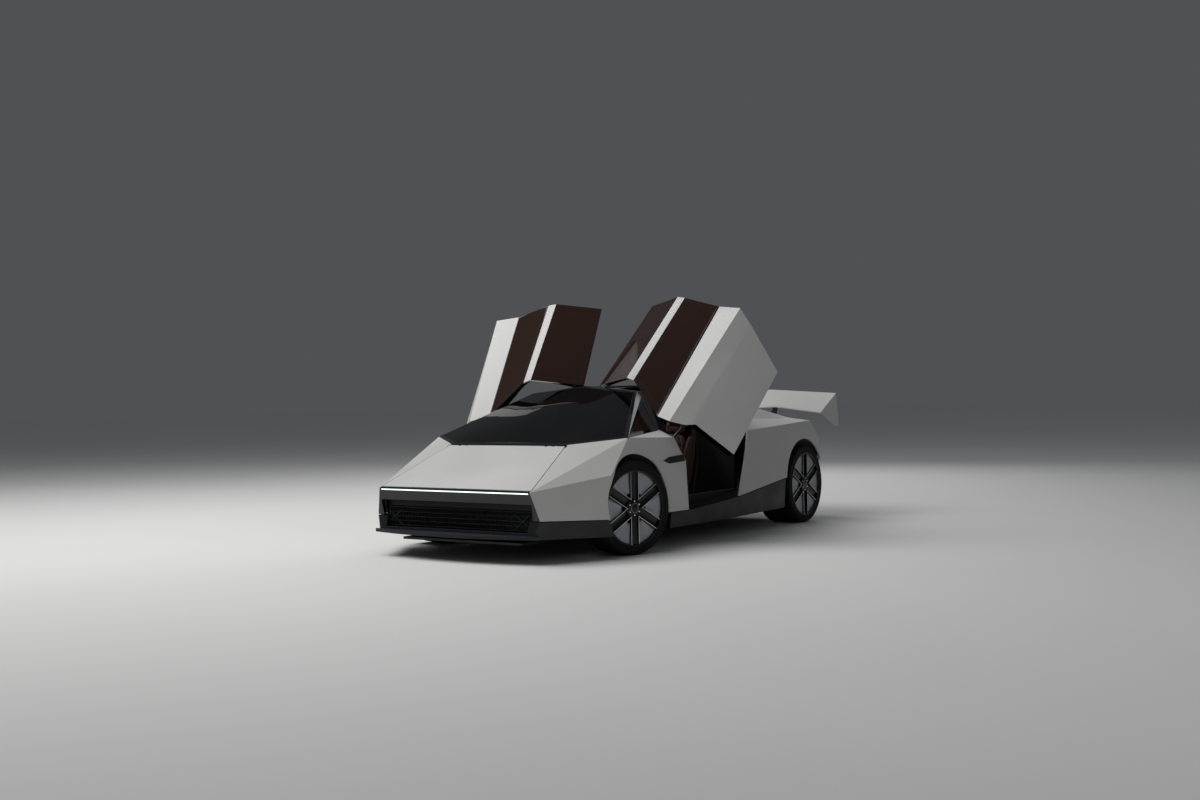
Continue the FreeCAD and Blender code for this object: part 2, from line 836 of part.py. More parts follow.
def splitter():
    """Chin under the nose: black corners back to the wheels and a thin blade that runs out in front."""
    front = block(-half_width, half_width, -front_overhang, 0, 0, nose_hem_height)
    shape = lower_outer.cut(lower_inner).common(front)
    opening = block(-intake_low_half_width, intake_low_half_width, -front_overhang,
                    -nose_reach + splitter_depth, intake_low_height, nose_hem_height)
    shape = shape.cut(opening)
    shape = shape.cut(arch(0, front_arch_radius, 0)).cut(mirrored(arch(0, front_arch_radius, 0)))
    z0, z1 = chin_height, chin_height + splitter_thickness
    tips = [at(side * splitter_half_width, -splitter_tip_reach, z0) for side in (1, -1)]
    bow = at(0, -front_overhang, z0)
    rear = [at(side * splitter_half_width * splitter_bow_share, -splitter_tip_reach + splitter_depth, z0)
            for side in (-1, 1)]
    edges = [Part.Arc(tips[0], bow, tips[1]).toShape(), Part.makeLine(tips[1], rear[0]),
             Part.makeLine(rear[0], rear[1]), Part.makeLine(rear[1], tips[0])]
    blade = Part.Face(Part.Wire(edges)).extrude(Vector(0, 0, z1 - z0))
    return largest(shape.fuse(blade))


def side_sill():
    """Left sill: the black lower body between the wheels, under the door."""
    region = block(low_half_width - sill_depth, half_width + cut_over, sill_front_y,
                   rear_axle_y - sill_rear_ahead, sill_height - cut_over,
                   hem_front_height + hem_arch_rise + hem_height)
    shape = lower_outer.common(region).cut(arch(0, liner_radius, 0))
    return largest(shape.cut(arch(rear_axle_y, liner_radius, 0)))


def diffuser():
    """Black rear valance with upright fins under the tail."""
    rear = block(-half_width, half_width, rear_axle_y, rear_axle_y + rear_overhang, 0, tail_hem_height)
    shape = lower_outer.cut(lower_inner).common(rear)
    y1 = rear_axle_y + low_back_reach
    plate = block(-low_back_half_width, low_back_half_width, y1 - fin_length, y1,
                  low_tail_height, low_tail_height + fin_thickness)
    fins = []
    for i in range(diffuser_fins):
        x = low_back_half_width * (2 * (i + 1) / (diffuser_fins + 1) - 1)
        z0 = low_tail_height - (low_tail_height - sill_height) / 2
        fins.append(block(x - fin_thickness / 2, x + fin_thickness / 2, y1 - fin_length, y1 - fin_thickness,
                          z0, low_tail_height + fin_thickness))
    wheel_space = arch(rear_axle_y, liner_radius + liner_wall + seat_gap, floor_arch_half_width)
    return largest(shape.fuse(plate).fuse(fins).cut(wheel_space).cut(mirrored(wheel_space)))


def front_lid():
    """Hood with the barrels of its two hinges at the rear edge."""
    shape = largest(skin_shell.common(plan_region(lid_plan())))
    y, z = lid_hinge_line()
    for side in (-1, 1):
        x = side * lid_hinge_half_width
        half = lid_hinge_length / 2
        barrel = rod(at(x - half, y, z), at(x + half, y, z), lid_barrel_radius)
        web = block(x - lid_hinge_length / 2, x + lid_hinge_length / 2, y - lid_rear_gap, y,
                    z - lid_barrel_radius, z)
        bore = rod(at(x - lid_hinge_length, y, z), at(x + lid_hinge_length, y, z), lid_pin_radius + pin_gap)
        shape = shape.fuse([barrel, web]).cut(bore)
        for end in (-1, 1):
            near = x + end * lid_hinge_length / 2
            far = near + end * (lid_pin_over + shut_gap)
            shape = shape.cut(block(min(near, far), max(near, far), y - lid_rear_gap, y + lid_rear_gap,
                                    z - lid_rear_gap, z + lid_rear_gap))
    return largest(shape)


def lid_hinge_mounts():
    """Ears and pins of the hood's hinges, on the cowl."""
    y, z = lid_hinge_line()
    solids = []
    for side in (-1, 1):
        x = side * lid_hinge_half_width
        reach = lid_hinge_length / 2 + lid_pin_over
        solids.append(rod(at(x - reach, y, z), at(x + reach, y, z), lid_pin_radius))
        for end in (-1, 1):
            near = x + end * (lid_hinge_length / 2 + pin_gap * 2)
            far = x + end * reach
            solids.append(block(min(near, far), max(near, far), y - lid_barrel_radius,
                                place("hood")[1] + frame_wall,
                                z - lid_barrel_radius, z + lid_barrel_radius / 2))
    return solids


def screen_frame():
    """Pillars, cowl, header, roof spine and the small panes' frames, with the windows cut."""
    shape = frame_shell.common(plan_region(screen_plan()))
    region = door_space(0)
    shape = shape.cut(region).cut(mirrored(region))
    shape = shape.cut(plan_region(glass_plan(), -window_border))
    for hole in (quarter_window(0), mirrored(quarter_window(0))):
        shape = shape.cut(hole)
    shape = largest(shape)
    for side in (1, -1):
        for solid in hinge_mount():
            shape = shape.fuse(solid if side > 0 else mirrored(solid))
    shape = shape.fuse(lid_hinge_mounts())
    wheel_space = arch(0, liner_radius + liner_wall + seat_gap, liner_inner_half_width)
    return largest(shape.cut(wheel_space).cut(mirrored(wheel_space)))


def quarter_window(gap):
    """Opening of the small fixed pane between the pillar and the door."""
    rail = Vector(at(rail_front_half_width, place("rail_front")[1], rail_height))
    points = [corner("foot"), corner("belt_front"), rail]
    return pane_prism(points, window_border + gap, door_wall)


def windscreen():
    """The laminated windscreen in its frame."""
    return largest(screen_sheet.common(plan_region(glass_plan(), -window_border - seat_gap)))


def quarter_panes():
    """The two small fixed side panes."""
    pane = largest(pane_sheet.common(quarter_window(seat_gap)))
    return Part.makeCompound([pane, mirrored(pane)])


def facet_point(names, u, v):
    """A point of a four-cornered facet: u runs from front to rear, v from its first edge to its other."""
    a, b, c, d = [corner(name) for name in names]
    low = a * (1 - u) + b * u
    high = d * (1 - u) + c * u
    return low * (1 - v) + high * v


def side_window(gap):
    """Opening of the door's side glass."""
    names = ("belt_front", "belt_rear", "rail_rear", "rail_front")
    points = [facet_point(names, side_glass_front_share, 0), facet_point(names, side_glass_rear_share, 0),
              facet_point(names, side_glass_rear_share, 1), facet_point(names, side_glass_top_share, 1)]
    return pane_prism(points, window_border + gap, door_wall * 2)


def roof_window(gap):
    """Opening of the door's roof glass."""
    front_x, front_y = place("roof_front")[:2]
    rear_x, rear_y = place("roof_rear")[:2]
    inside = spine_half_width + shut_gap
    y0, y1 = front_y + door_header_top_back, rear_y - door_roof_rear_ahead
    outline = [(inside, y0), (front_x, y0), (rear_x, y1), (inside, y1)]
    return plan_region(outline, -roof_frame - gap)


def door():
    """Left door in one piece: outer panel, shoulder, window frame, roof rail and half of the roof."""
    shape = swung_clear(largest(door_shell.common(door_space(shut_gap))), shut_gap)
    shape = largest(shape.cut(side_window(0)).cut(roof_window(0)))
    return largest(shape.fuse(hinge_knuckle()).cut(hinge_bore()))


def door_glass():
    """Side and roof glass of the left door."""
    side = largest(pane_sheet.common(side_window(seat_gap)))
    roof = largest(pane_sheet.common(roof_window(seat_gap)))
    return Part.makeCompound([side, roof])


def door_lining():
    """Inner trim of the left door, on the inside of its wall."""
    start = door_wall + seat_gap
    sheet = body_solid(start, shell_drop).cut(body_solid(start + lining_wall, shell_drop))
    sheet = sheet.common(door_space(shut_gap + lining_margin)).common(body_outer)
    sheet = swung_clear(sheet, lining_swing_gap)
    return largest(sheet.cut(side_window(-seat_gap)).cut(roof_window(-seat_gap)))


def hinge_centre():
    """Middle of the left door's hinge knuckle, on the hinge line inside the fender."""
    return hinge_point + hinge_axis * knuckle_out


def hinge_knuckle():
    """The knuckle and the bent arm that carries the left door, clear of the fender when it is up."""
    centre = hinge_centre()
    half = hinge_axis * (knuckle_length / 2)
    knuckle = rod(centre - half, centre + half, knuckle_radius)
    raised_elbow = Vector(0, hinge_elbow_back, -hinge_elbow_drop)
    elbow = centre + Rotation(hinge_axis, -door_open_deg).multVec(raised_elbow)
    root = at(crease_half_width - door_wall / 2, place("crease2")[1] + hinge_root, door_kink_height)
    joint = Part.makeSphere(hinge_arm_radius, elbow)
    return [knuckle, rod(centre, elbow, hinge_arm_radius), joint, rod(elbow, root, hinge_arm_radius)]


def hinge_bore():
    """The bore through the door's knuckle."""
    centre = hinge_centre()
    half = hinge_axis * knuckle_length
    return rod(centre - half, centre + half, hinge_pin_radius + pin_gap)


def hinge_mount():
    """The left door's hinge pin with its boss, and the bracket that carries it from the pillar's foot."""
    centre = hinge_centre()
    near = knuckle_length / 2 + pin_gap * 2
    boss_end = centre - hinge_axis * (near + hinge_boss_length)
    pin_end = centre + hinge_axis * (near + hinge_pin_over)
    pin = rod(boss_end, pin_end, hinge_pin_radius)
    head = rod(centre + hinge_axis * near, pin_end, knuckle_radius * 2 / 3)
    boss = rod(boss_end, centre - hinge_axis * near, knuckle_radius)
    foot = corner("foot", hinge_bracket_depth)
    seat = foot + (corner("belt_front", hinge_bracket_depth) - foot) * hinge_bracket_share
    start = centre - hinge_axis * (near + hinge_boss_length / 2)
    return [pin, head, boss, rod(start, seat, hinge_bracket_radius)]


def rear_quarter():
    """Left rear corner: shoulder, buttress, side and arch, round to the tail."""
    rear = block(0, half_width + cut_over, place("hem3")[1] - cut_over * 3, rear_axle_y + rear_overhang,
                 0, top)
    shape = skin_shell.common(rear).cut(door_space(0))
    shape = shape.cut(plan_region(screen_plan(), panel_gap)).cut(plan_region(deck_plan(), panel_gap))
    shape = shape.cut(tail_space(panel_gap)).cut(arch(rear_axle_y, rear_arch_radius, 0))
    return largest(shape)


def tail_space(gap):
    """The space of the rear panel between the two corners."""
    half = tail_corner_half_width - cut_over + gap
    space = block(-half, half, place("deck1")[1] - gap, rear_axle_y + rear_overhang, 0, top)
    return space


def rear_deck():
    """Engine cover with the rear window's frame and sloping slats over the air outlet."""
    shape = frame_shell.common(plan_region(deck_plan()))
    shape = shape.cut(plan_region(deck_glass_plan(), -deck_border))
    shape = shape.cut(plan_region(outlet_plan(), 0))
    slats = []
    y0, y1 = outlet_plan()[0][1], outlet_plan()[1][1]
    layer = body_solid(skin, shell_drop).cut(body_solid(frame_wall, shell_drop)) \
        .common(plan_region(outlet_plan(), seat_gap))
    low, high = place("deck0")[2] - shell_drop * 2, place("spine_rear")[2] + shell_drop
    for i in range(slat_count):
        y = y0 + (y1 - y0) * (i + 1 / 2) / slat_count - slat_lean * (high - low) / 2
        far = y + slat_lean * (high - low)
        band = side_prism([(y, low), (y + slat_width, low), (far + slat_width, high), (far, high)],
                          -half_width, half_width)
        slats.append(layer.common(band))
    return largest(shape.fuse(slats))


def outlet_plan():
    """Plan outline of the air outlet behind the rear window."""
    outline = deck_plan()
    (x0, y0), (x1, y1) = outline[0], outline[1]
    share = deck_glass_share
    xa, ya = x0 + (x1 - x0) * share, y0 + (y1 - y0) * share
    return [(xa, ya + deck_border / 2), (x1 - deck_border * 2, y1 - deck_border * 2),
            (-x1 + deck_border * 2, y1 - deck_border * 2), (-xa, ya + deck_border / 2)]


def rear_window():
    """The rear window, in front of the air outlet."""
    return largest(screen_sheet.common(plan_region(deck_glass_plan(), -deck_border - seat_gap)))


def rear_fascia():
    """Rear panel across the tail, with a recessed centre and the slot of its light."""
    shape = skin_shell.common(tail_space(0)).cut(plan_region(deck_plan(), panel_gap))
    return largest(shape.cut(tail_light_slot(0)))


def tail_light_slot(gap):
    """The slot of the rear light bar."""
    z1 = tail_height - tail_light_drop - gap
    half = tail_corner_half_width - tail_light_margin - gap
    z0 = z1 - tail_light_height + 2 * gap
    return block(-half, half, rear_axle_y + tail_back / 2, rear_axle_y + rear_overhang, z0, z1)


def tail_light():
    """The full-width rear light."""
    return largest(skin_shell.common(tail_light_slot(seat_gap)))


def wing_section(x):
    """Section of the wing's plate at a place across the car, thin in front and blunt behind."""
    share = abs(x) / wing_half_width
    rise = wing_front_outer_rise * min(share / wing_outer_share, 1)
    fall = wing_front_tip_drop * max((share - wing_outer_share) / (1 - wing_outer_share), 0)
    front_z = wing_front_height + rise - fall
    rear_z = wing_rear_height - wing_rear_tip_drop * max((share - wing_mid_share) / (1 - wing_mid_share), 0)
    y0, y1 = rear_axle_y + wing_front_back, rear_axle_y + wing_rear_back
    return [at(x, y0, front_z), at(x, y1, rear_z), at(x, y1, rear_z - wing_rear_thickness),
            at(x, y0, front_z - wing_front_thickness)]


def faceted(sections):
    """A closed solid through a row of four-cornered sections."""
    faces = [ruled(*sections[0]), ruled(*sections[-1])]
    for near, far in zip(sections, sections[1:]):
        for i in range(len(near)):
            faces.append(ruled(near[i - 1], near[i], far[i], far[i - 1]))
    return solid_of(faces)


def wing():
    """Fixed wing: a folded plate across the tail, drooping end plates and two pylons."""
    places = [-1, -wing_outer_share, -wing_mid_share, 0, wing_mid_share, wing_outer_share, 1]
    plate = faceted([wing_section(share * wing_half_width) for share in places])
    pieces = []
    tip_front = wing_front_height + wing_front_outer_rise - wing_front_tip_drop
    tip_rear = wing_rear_height - wing_rear_tip_drop
    inner = wing_half_width - plate_thickness
    top_line = [(rear_axle_y + wing_rear_back, tip_rear), (rear_axle_y + wing_front_back, tip_front)]
    low_line = [(rear_axle_y + plate_low_front, plate_low_height),
                (rear_axle_y + plate_low_rear, plate_low_height)]
    outline = [top_line[1], low_line[0], low_line[1], top_line[0]]
    for side in (1, -1):
        near = [at(side * (inner + (plate_out if z == plate_low_height else 0)), y, z) for y, z in outline]
        far = [point + Vector(side * plate_thickness, 0, 0) for point in near]
        pieces.append(faceted([near, far]))
        x = side * pylon_x
        y0, y1 = rear_axle_y + pylon_low_back, rear_axle_y + wing_front_back + pylon_length
        z_top = wing_front_height + wing_front_outer_rise
        slope = (wing_rear_height - wing_front_height) / (wing_rear_back - wing_front_back)
        pylon = side_prism([(y0, tail_height + skin * 3), (y0 + pylon_length, tail_height - skin),
                            (y1, z_top + slope * pylon_length - skin),
                            (y1 - pylon_length + skin * 2, z_top)],
                            x - pylon_thickness / 2, x + pylon_thickness / 2)
        pieces.append(pylon.cut(body_solid(-seat_gap)))
    shape = plate.fuse(pieces)
    return largest(shape)


def floor_pan():
    """Flat underbody, cut away at the four wheels."""
    outline = [(floor_arch_half_width, -floor_front_reach), (floor_arch_half_width, floor_arch_reach),
               (floor_half_width, floor_arch_reach), (floor_half_width, rear_axle_y - floor_arch_reach),
               (floor_arch_half_width, rear_axle_y - floor_arch_reach),
               (floor_arch_half_width, rear_axle_y + floor_rear_reach)]
    outline = outline + [(-x, y) for x, y in reversed(outline)]
    return plan_prism(outline, ground_clearance, ground_clearance + floor_thickness)


def cabin_tub():
    """Hollow cabin floor with its low walls, front bulkhead and rear bulkhead."""
    low = ground_clearance + floor_thickness
    rear_y = along(cabin_rear_share)
    outline = [(tub_foot_half_width, tub_front_y), (tub_foot_half_width, tub_wide_y),
               (tub_half_width, tub_wide_y), (tub_half_width, rear_y)]
    outline = outline + [(-x, y) for x, y in reversed(outline)]
    base = polygon([at(x, y, low) for x, y in outline])
    outer = base.extrude(Vector(0, 0, tub_height - low))
    inner = base.makeOffset2D(-tub_wall).extrude(Vector(0, 0, tub_height))
    inner.translate(Vector(0, 0, tub_wall))
    shape = outer.cut(inner)
    front = block(-tub_foot_half_width, tub_foot_half_width, tub_front_y, tub_front_y + tub_wall, low,
                  bulkhead_height)
    rear = block(-tub_half_width, tub_half_width, rear_y - tub_wall, rear_y, low, rear_bulkhead_height)
    rear = rear.common(body_solid(door_wall + lining_wall + shut_gap, shell_drop * 3))
    return largest(shape.fuse([front, rear]))


def load_tub():
    """Open load tub under the hood."""
    slope = (place("hood")[2] - nose_height) / (place("hood")[1] + nose_reach)
    z0 = nose_height + slope * (nose_reach - load_front_reach) - load_rim_drop
    z1 = nose_height + slope * (nose_reach - load_rear_reach) - load_rim_drop
    outer = side_prism([(-load_front_reach, load_floor), (-load_rear_reach, load_floor),
                        (-load_rear_reach, z1), (-load_front_reach, z0)], -load_half_width, load_half_width)
    half = load_half_width - load_wall
    inner = side_prism([(-load_front_reach + load_wall, load_floor + load_wall),
                        (-load_rear_reach - load_wall, load_floor + load_wall),
                        (-load_rear_reach - load_wall, z1 + shell_drop * 4),
                        (-load_front_reach + load_wall, z0 + shell_drop * 4)], -half, half)
    foot_y0, foot_y1 = -load_front_reach + load_foot_back, -load_rear_reach - load_wall
    feet = [block(side * half - load_wall, side * half + load_wall, foot_y0, foot_y1,
                  ground_clearance + floor_thickness, load_floor) for side in (-1, 1)]
    return largest(outer.cut(inner).fuse(feet))


def arch_liners():
    """Round liners over the four wheels, inside the body's skin."""
    solids = []
    space = body_solid(skin + seat_gap, shell_drop)
    for y in (0, rear_axle_y):
        outer = rod(at(liner_inner_half_width, y, tyre_radius), at(half_width, y, tyre_radius),
                    liner_radius + liner_wall)
        inner = rod(at(0, y, tyre_radius), at(half_width + cut_over, y, tyre_radius), liner_radius)
        above = block(0, half_width, y - liner_radius * 2, y + liner_radius * 2, tyre_radius, top)
        liner = largest(outer.cut(inner).common(above).common(space))
        solids = solids + [liner, mirrored(liner)]
    return Part.makeCompound(solids)


def seat():
    """Left bucket seat: cushion and leaning back as one plain closed form, narrower at the shoulders."""
    base = ground_clearance + floor_thickness + tub_wall + seat_gap
    y0, y1 = seat_front_y, seat_back_y
    outline = [
        (y0, base), (y1 - seat_back_thickness, base),
        (y1 + seat_back_lean - seat_back_thickness, seat_back_top),
        (y1 + seat_back_lean - seat_back_thickness * 2, seat_back_top),
        (y1 - seat_back_thickness * 2, seat_low + seat_thickness), (y0, seat_front_height),
    ]
    rear = along(cabin_rear_share) - tub_wall - shut_gap
    side_view = [(min(y, rear), z) for y, z in outline]
    shape = side_prism(side_view, seat_x - seat_width / 2, seat_x + seat_width / 2)
    half, top_half = seat_width / 2, seat_width * seat_top_share / 2
    front_view = [(seat_x - half, base), (seat_x + half, base), (seat_x + half, seat_shoulder_height),
                  (seat_x + top_half, seat_back_top), (seat_x - top_half, seat_back_top),
                  (seat_x - half, seat_shoulder_height)]
    return shape.common(front_prism(front_view, y0 - cut_over, rear + cut_over))


def dashboard():
    """Instrument panel across the cabin with the steering column's tube."""
    outline = [(dash_front_y, dash_top - dash_depth), (dash_rear_y, dash_top - dash_depth),
               (dash_rear_y + dash_nose / 3, dash_top - dash_nose), (dash_rear_y, dash_top),
               (dash_front_y, dash_top - dash_nose / 3)]
    shape = side_prism(outline, -dash_half_width, dash_half_width)
    start, end = column_line(0), column_line(-column_length)
    shape = shape.fuse(rod(start, end, column_radius))
    bore = rod(column_line(cut_over), column_line(-hand_boss_length * 2), hand_boss_radius / 4)
    return largest(shape.cut(bore))


def column_line(distance):
    """A point on the steering column's line, measured from its end towards the driver."""
    angle = math.radians(column_lean_deg)
    return at(seat_x, column_y, column_z) + Vector(0, math.cos(angle), math.sin(angle)) * distance


def steering_wheel():
    """Rim, boss and three spokes, with the stub that turns in the column."""
    angle = math.radians(column_lean_deg)
    line = Vector(0, math.cos(angle), math.sin(angle))
    centre = column_line(hand_boss_length + shut_gap)
    grip = []
    for i in range(hand_grip_sides):
        turn = 2 * math.pi * i / hand_grip_sides
        out = hand_wheel_radius + hand_grip_radius * math.cos(turn)
        grip.append(centre + Vector(out, 0, 0) + line * hand_grip_radius * math.sin(turn))
    rim = polygon(grip).revolve(centre, line, 360)
    boss = rod(column_line(shut_gap), centre + line * hand_grip_radius, hand_boss_radius)
    stub = rod(column_line(-hand_boss_length), centre, hand_boss_radius / 4 - pin_gap)
    pieces = [boss, stub]
    across = Vector(1, 0, 0)
    for turn in (0, 180, 270):
        direction = Rotation(line, turn).multVec(across)
        pieces.append(rod(centre, centre + direction * hand_wheel_radius, hand_spoke_width / 3))
    return largest(rim.fuse(pieces))


def console():
    """Console between the seats."""
    base = ground_clearance + floor_thickness + tub_wall
    outline = [(console_front_y, base), (console_rear_y, base), (console_rear_y, console_height - tub_wall),
               (console_front_y + console_half_width * 2, console_height),
               (console_front_y, console_front_height)]
    return side_prism(outline, -console_half_width, console_half_width)


def drive_block():
    """Plain block for the motor, gearbox and battery behind the cabin."""
    return block(-drive_half_width, drive_half_width, along(drive_front_share), rear_axle_y + drive_rear_back,
                 ground_clearance + floor_thickness + subframe_height + seat_gap, drive_height)


def tyre(width):
    """Tyre of a left wheel about the X axis, its outer wall at x = 0 and its inner one at -width."""
    bead = rim_radius - rim_lip
    points = [(0, bead), (-width, bead), (-width, tyre_radius - tyre_shoulder),
              (-width + tyre_chamfer, tyre_radius), (-tyre_chamfer, tyre_radius),
              (0, tyre_radius - tyre_shoulder)]
    profile = polygon([Vector(x, 0, r) for x, r in points])
    return profile.revolve(Vector(0, 0, 0), Vector(1, 0, 0), 360)


def ring(x0, x1, inner, outer):
    """A flat ring about the X axis."""
    shape = rod(Vector(x0, 0, 0), Vector(x1, 0, 0), outer)
    return shape.cut(rod(Vector(x0 - cut_over, 0, 0), Vector(x1 + cut_over, 0, 0), inner)) if inner else shape


def wheel(width):
    """Left wheel about the X axis: rim, six spokes, the sector plates between them, hub and brake disc."""
    bead = rim_radius - rim_lip - seat_gap
    rim = ring(-width, 0, bead - rim_wall, bead)
    lip = ring(-rim_wall, 0, bead - rim_wall * 2, bead)
    shape = rim.fuse(lip)
    back = -face_recess - face_thickness
    plates = ring(back, -face_recess, plate_inner_radius, bead - rim_wall / 2)
    spokes = []
    for i in range(spoke_count):
        turn = 360 / spoke_count * i + 360 / spoke_count / 2
        slot = Part.makeBox(face_thickness * 3, spoke_channel, face_radius - rim_lip,
                            Vector(back - face_thickness, -spoke_channel / 2, 0))
        slot.rotate(Vector(0, 0, 0), Vector(1, 0, 0), turn)
        plates = plates.cut(slot)
        spoke = Part.makeBox(spoke_depth, spoke_width, bead - rim_wall / 2,
                             Vector(back - spoke_depth, -spoke_width / 2, 0))
        spoke.rotate(Vector(0, 0, 0), Vector(1, 0, 0), turn)
        spokes.append(spoke)
    disc_x = -disc_from_face
    hub = ring(disc_x - disc_thickness, -face_recess, 0, hub_radius)
    disc = ring(disc_x - disc_thickness, disc_x, 0, disc_radius)
    shape = shape.fuse([plates, hub, disc] + spokes)
    bore = rod(Vector(disc_x - disc_thickness - cut_over, 0, 0), Vector(disc_x + hub_length, 0, 0),
               stub_radius + pin_gap)
    return largest(shape.cut(bore))


def to_axle(shape, y):
    """A left wheel's piece moved to its axle."""
    moved = shape.copy()
    moved.translate(at(half_width - tyre_inset, y, tyre_radius))
    return moved


def steered(shape, side):
    """A front wheel's piece of the left or right side turned to its place at rest about its kingpin."""
    moved = shape.copy()
    moved.rotate(at(side * steer_half_width, 0, 0), Vector(0, 0, 1), steer_rest_deg)
    return moved


def upright(y, caliper_side):
    """Left hub carrier: plate, stub axle, and the brake caliper over the disc."""
    face_x = half_width - tyre_inset
    disc_x = face_x - disc_from_face
    inner_x = steer_half_width - upright_thickness / 2
    plate = block(inner_x, inner_x + upright_thickness, y - upright_width / 2, y + upright_width / 2,
                  tyre_radius - upright_height / 2, tyre_radius + upright_height / 2)
    stub = rod(at(inner_x, y, tyre_radius), at(disc_x + hub_length - shut_gap, y, tyre_radius), stub_radius)
    outer_r = disc_radius + caliper_gap + caliper_wall
    inner_r = disc_radius - caliper_height
    half_angle = math.degrees(caliper_length / 2 / disc_radius)
    x0 = disc_x - disc_thickness - caliper_gap - caliper_wall
    x1 = disc_x + caliper_gap + caliper_wall
    inside = disc_radius + caliper_gap
    u_profile = [(x0, inner_r), (x0, outer_r), (x1, outer_r), (x1, inner_r), (x1 - caliper_wall, inner_r),
                 (x1 - caliper_wall, inside), (x0 + caliper_wall, inside), (x0 + caliper_wall, inner_r)]
    face = polygon([Vector(x, r, 0) for x, r in u_profile])
    face.rotate(Vector(0, 0, 0), Vector(1, 0, 0), (0 if caliper_side > 0 else 180) - half_angle)
    caliper = face.revolve(Vector(0, 0, 0), Vector(1, 0, 0), half_angle * 2)
    caliper.translate(at(0, y, tyre_radius))
    bracket = block(inner_x, inner_x + upright_thickness, min(y, y + caliper_side * (inner_r + caliper_wall)),
                    max(y, y + caliper_side * (inner_r + caliper_wall)), tyre_radius - caliper_height / 2,
                    tyre_radius + caliper_height / 2)
    near, far = caliper_side * (inner_r + caliper_wall / 2), caliper_side * (inner_r + caliper_wall * 2)
    tie = block(inner_x, x0 + caliper_wall, y + min(near, far), y + max(near, far),
                tyre_radius - caliper_height / 3, tyre_radius + caliper_height / 3)
    return plate.fuse([stub, caliper, bracket, tie])


def knuckle():
    """Left front knuckle with its upper and lower kingpins."""
    shape = upright(0, 1)
    half = upright_height / 2
    for side in (-1, 1):
        z = tyre_radius + side * half
        shape = shape.fuse(rod(at(steer_half_width, 0, z), at(steer_half_width, 0, z + side * kingpin_length),
                               kingpin_radius))
    return largest(shape)


def arm(x, y, z, inner_x):
    """A wishbone: two round legs from an ear to the subframe."""
    legs = []
    for end in (-1, 1):
        legs.append(rod(at(x, y, z), at(inner_x, y + end * arm_spread, z), arm_radius))
    return legs


def suspension(y, steering):
    """Wishbones on both sides, the subframe between them, and at the rear the fixed hub carriers."""
    low = ground_clearance + floor_thickness
    half = upright_height / 2
    solids = []
    frame_x = subframe_half_width
    reach = half + ear_height / 2 + pin_gap * 2
    levels = [tyre_radius - reach, tyre_radius + reach]
    frame = block(-frame_x, frame_x, y - subframe_length / 2, y + subframe_length / 2,
                  low, low + subframe_height)
    posts = []
    for side in (-1, 1):
        x0 = side * frame_x
        posts.append(block(min(x0, x0 - side * subframe_depth), max(x0, x0 - side * subframe_depth),
                           y - subframe_length / 2, y + subframe_length / 2, low, levels[1] + arm_radius))
    shape = frame.fuse(posts)
    for level in levels:
        left = arm(steer_half_width, y, level, frame_x - subframe_depth / 2)
        ear = rod(at(steer_half_width, y, level - ear_height / 2),
                  at(steer_half_width, y, level + ear_height / 2), ear_radius)
        pieces = [ear] + left
        shape = shape.fuse(pieces + [mirrored(piece) for piece in pieces])
    if steering:
        for side in (-1, 1):
            x = side * steer_half_width
            shape = shape.cut(rod(at(x, y, low), at(x, y, top), kingpin_radius + pin_gap))
    else:
        carrier = upright(y, -1)
        for level, side in zip(levels, (-1, 1)):
            z = tyre_radius + side * half
            pin = rod(at(steer_half_width, y, z - side * kingpin_radius), at(steer_half_width, y, level),
                      kingpin_radius)
            carrier = carrier.fuse(pin)
        shape = shape.fuse([carrier, mirrored(carrier)])
    return largest(shape)


def opened(shape):
    """A left door's piece swung up to its place at rest."""
    moved = shape.copy()
    moved.rotate(hinge_point, hinge_axis, door_open_deg)
    return moved


nodes = {}


def both(name, left):
    """Adds a left piece and its mirror image as two nodes."""
    nodes[name + "_left"] = left
    nodes[name + "_right"] = mirrored(left)


both("fender", fender())
both("rear_quarter", rear_quarter())
both("side_sill", side_sill())
both("door", opened(door()))
both("door_glass", opened(door_glass()))
both("door_lining", opened(door_lining()))
nodes["front_fascia"] = front_fascia()
nodes["front_light_bar"] = light_bar()
nodes["splitter"] = splitter()
nodes["front_lid"] = front_lid()
nodes["screen_frame"] = screen_frame()
nodes["windscreen"] = windscreen()
nodes["quarter_panes"] = quarter_panes()
nodes["rear_deck"] = rear_deck()
nodes["rear_window"] = rear_window()
nodes["rear_fascia"] = rear_fascia()
nodes["tail_light_bar"] = tail_light()
nodes["diffuser"] = diffuser()
nodes["wing"] = wing()
nodes["floor_pan"] = floor_pan()
nodes["cabin_tub"] = cabin_tub()
nodes["load_tub"] = load_tub()
nodes["arch_liners"] = arch_liners()
both("seat", seat())
nodes["dashboard"] = dashboard()
nodes["steering_wheel"] = steering_wheel()
nodes["console"] = console()
nodes["drive_block"] = drive_block()
nodes["front_suspension"] = suspension(0, True)
nodes["rear_suspension"] = suspension(rear_axle_y, False)

front_tyre = to_axle(tyre(front_tyre_width), 0)
front_wheel = to_axle(wheel(front_tyre_width), 0)
for side_name, side in (("left", 1), ("right", -1)):
    for name, shape in (("tyre", front_tyre), ("wheel", front_wheel)):
        piece = shape if side > 0 else mirrored(shape)
        nodes[name + "_front_" + side_name] = steered(piece, side)
    piece = knuckle() if side > 0 else mirrored(knuckle())
    nodes["knuckle_" + side_name] = steered(piece, side)
both("tyre_rear", to_axle(tyre(rear_tyre_width), rear_axle_y))
both("wheel_rear", to_axle(wheel(rear_tyre_width), rear_axle_y))

os.makedirs("parts", exist_ok=True)
for name, shape in nodes.items():
    shape.exportStep("parts/" + name + ".step")
    print(name, len(shape.Solids), "valid" if shape.isValid() else "INVALID", round(shape.Volume / 1e6, 2))
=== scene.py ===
import json
import math

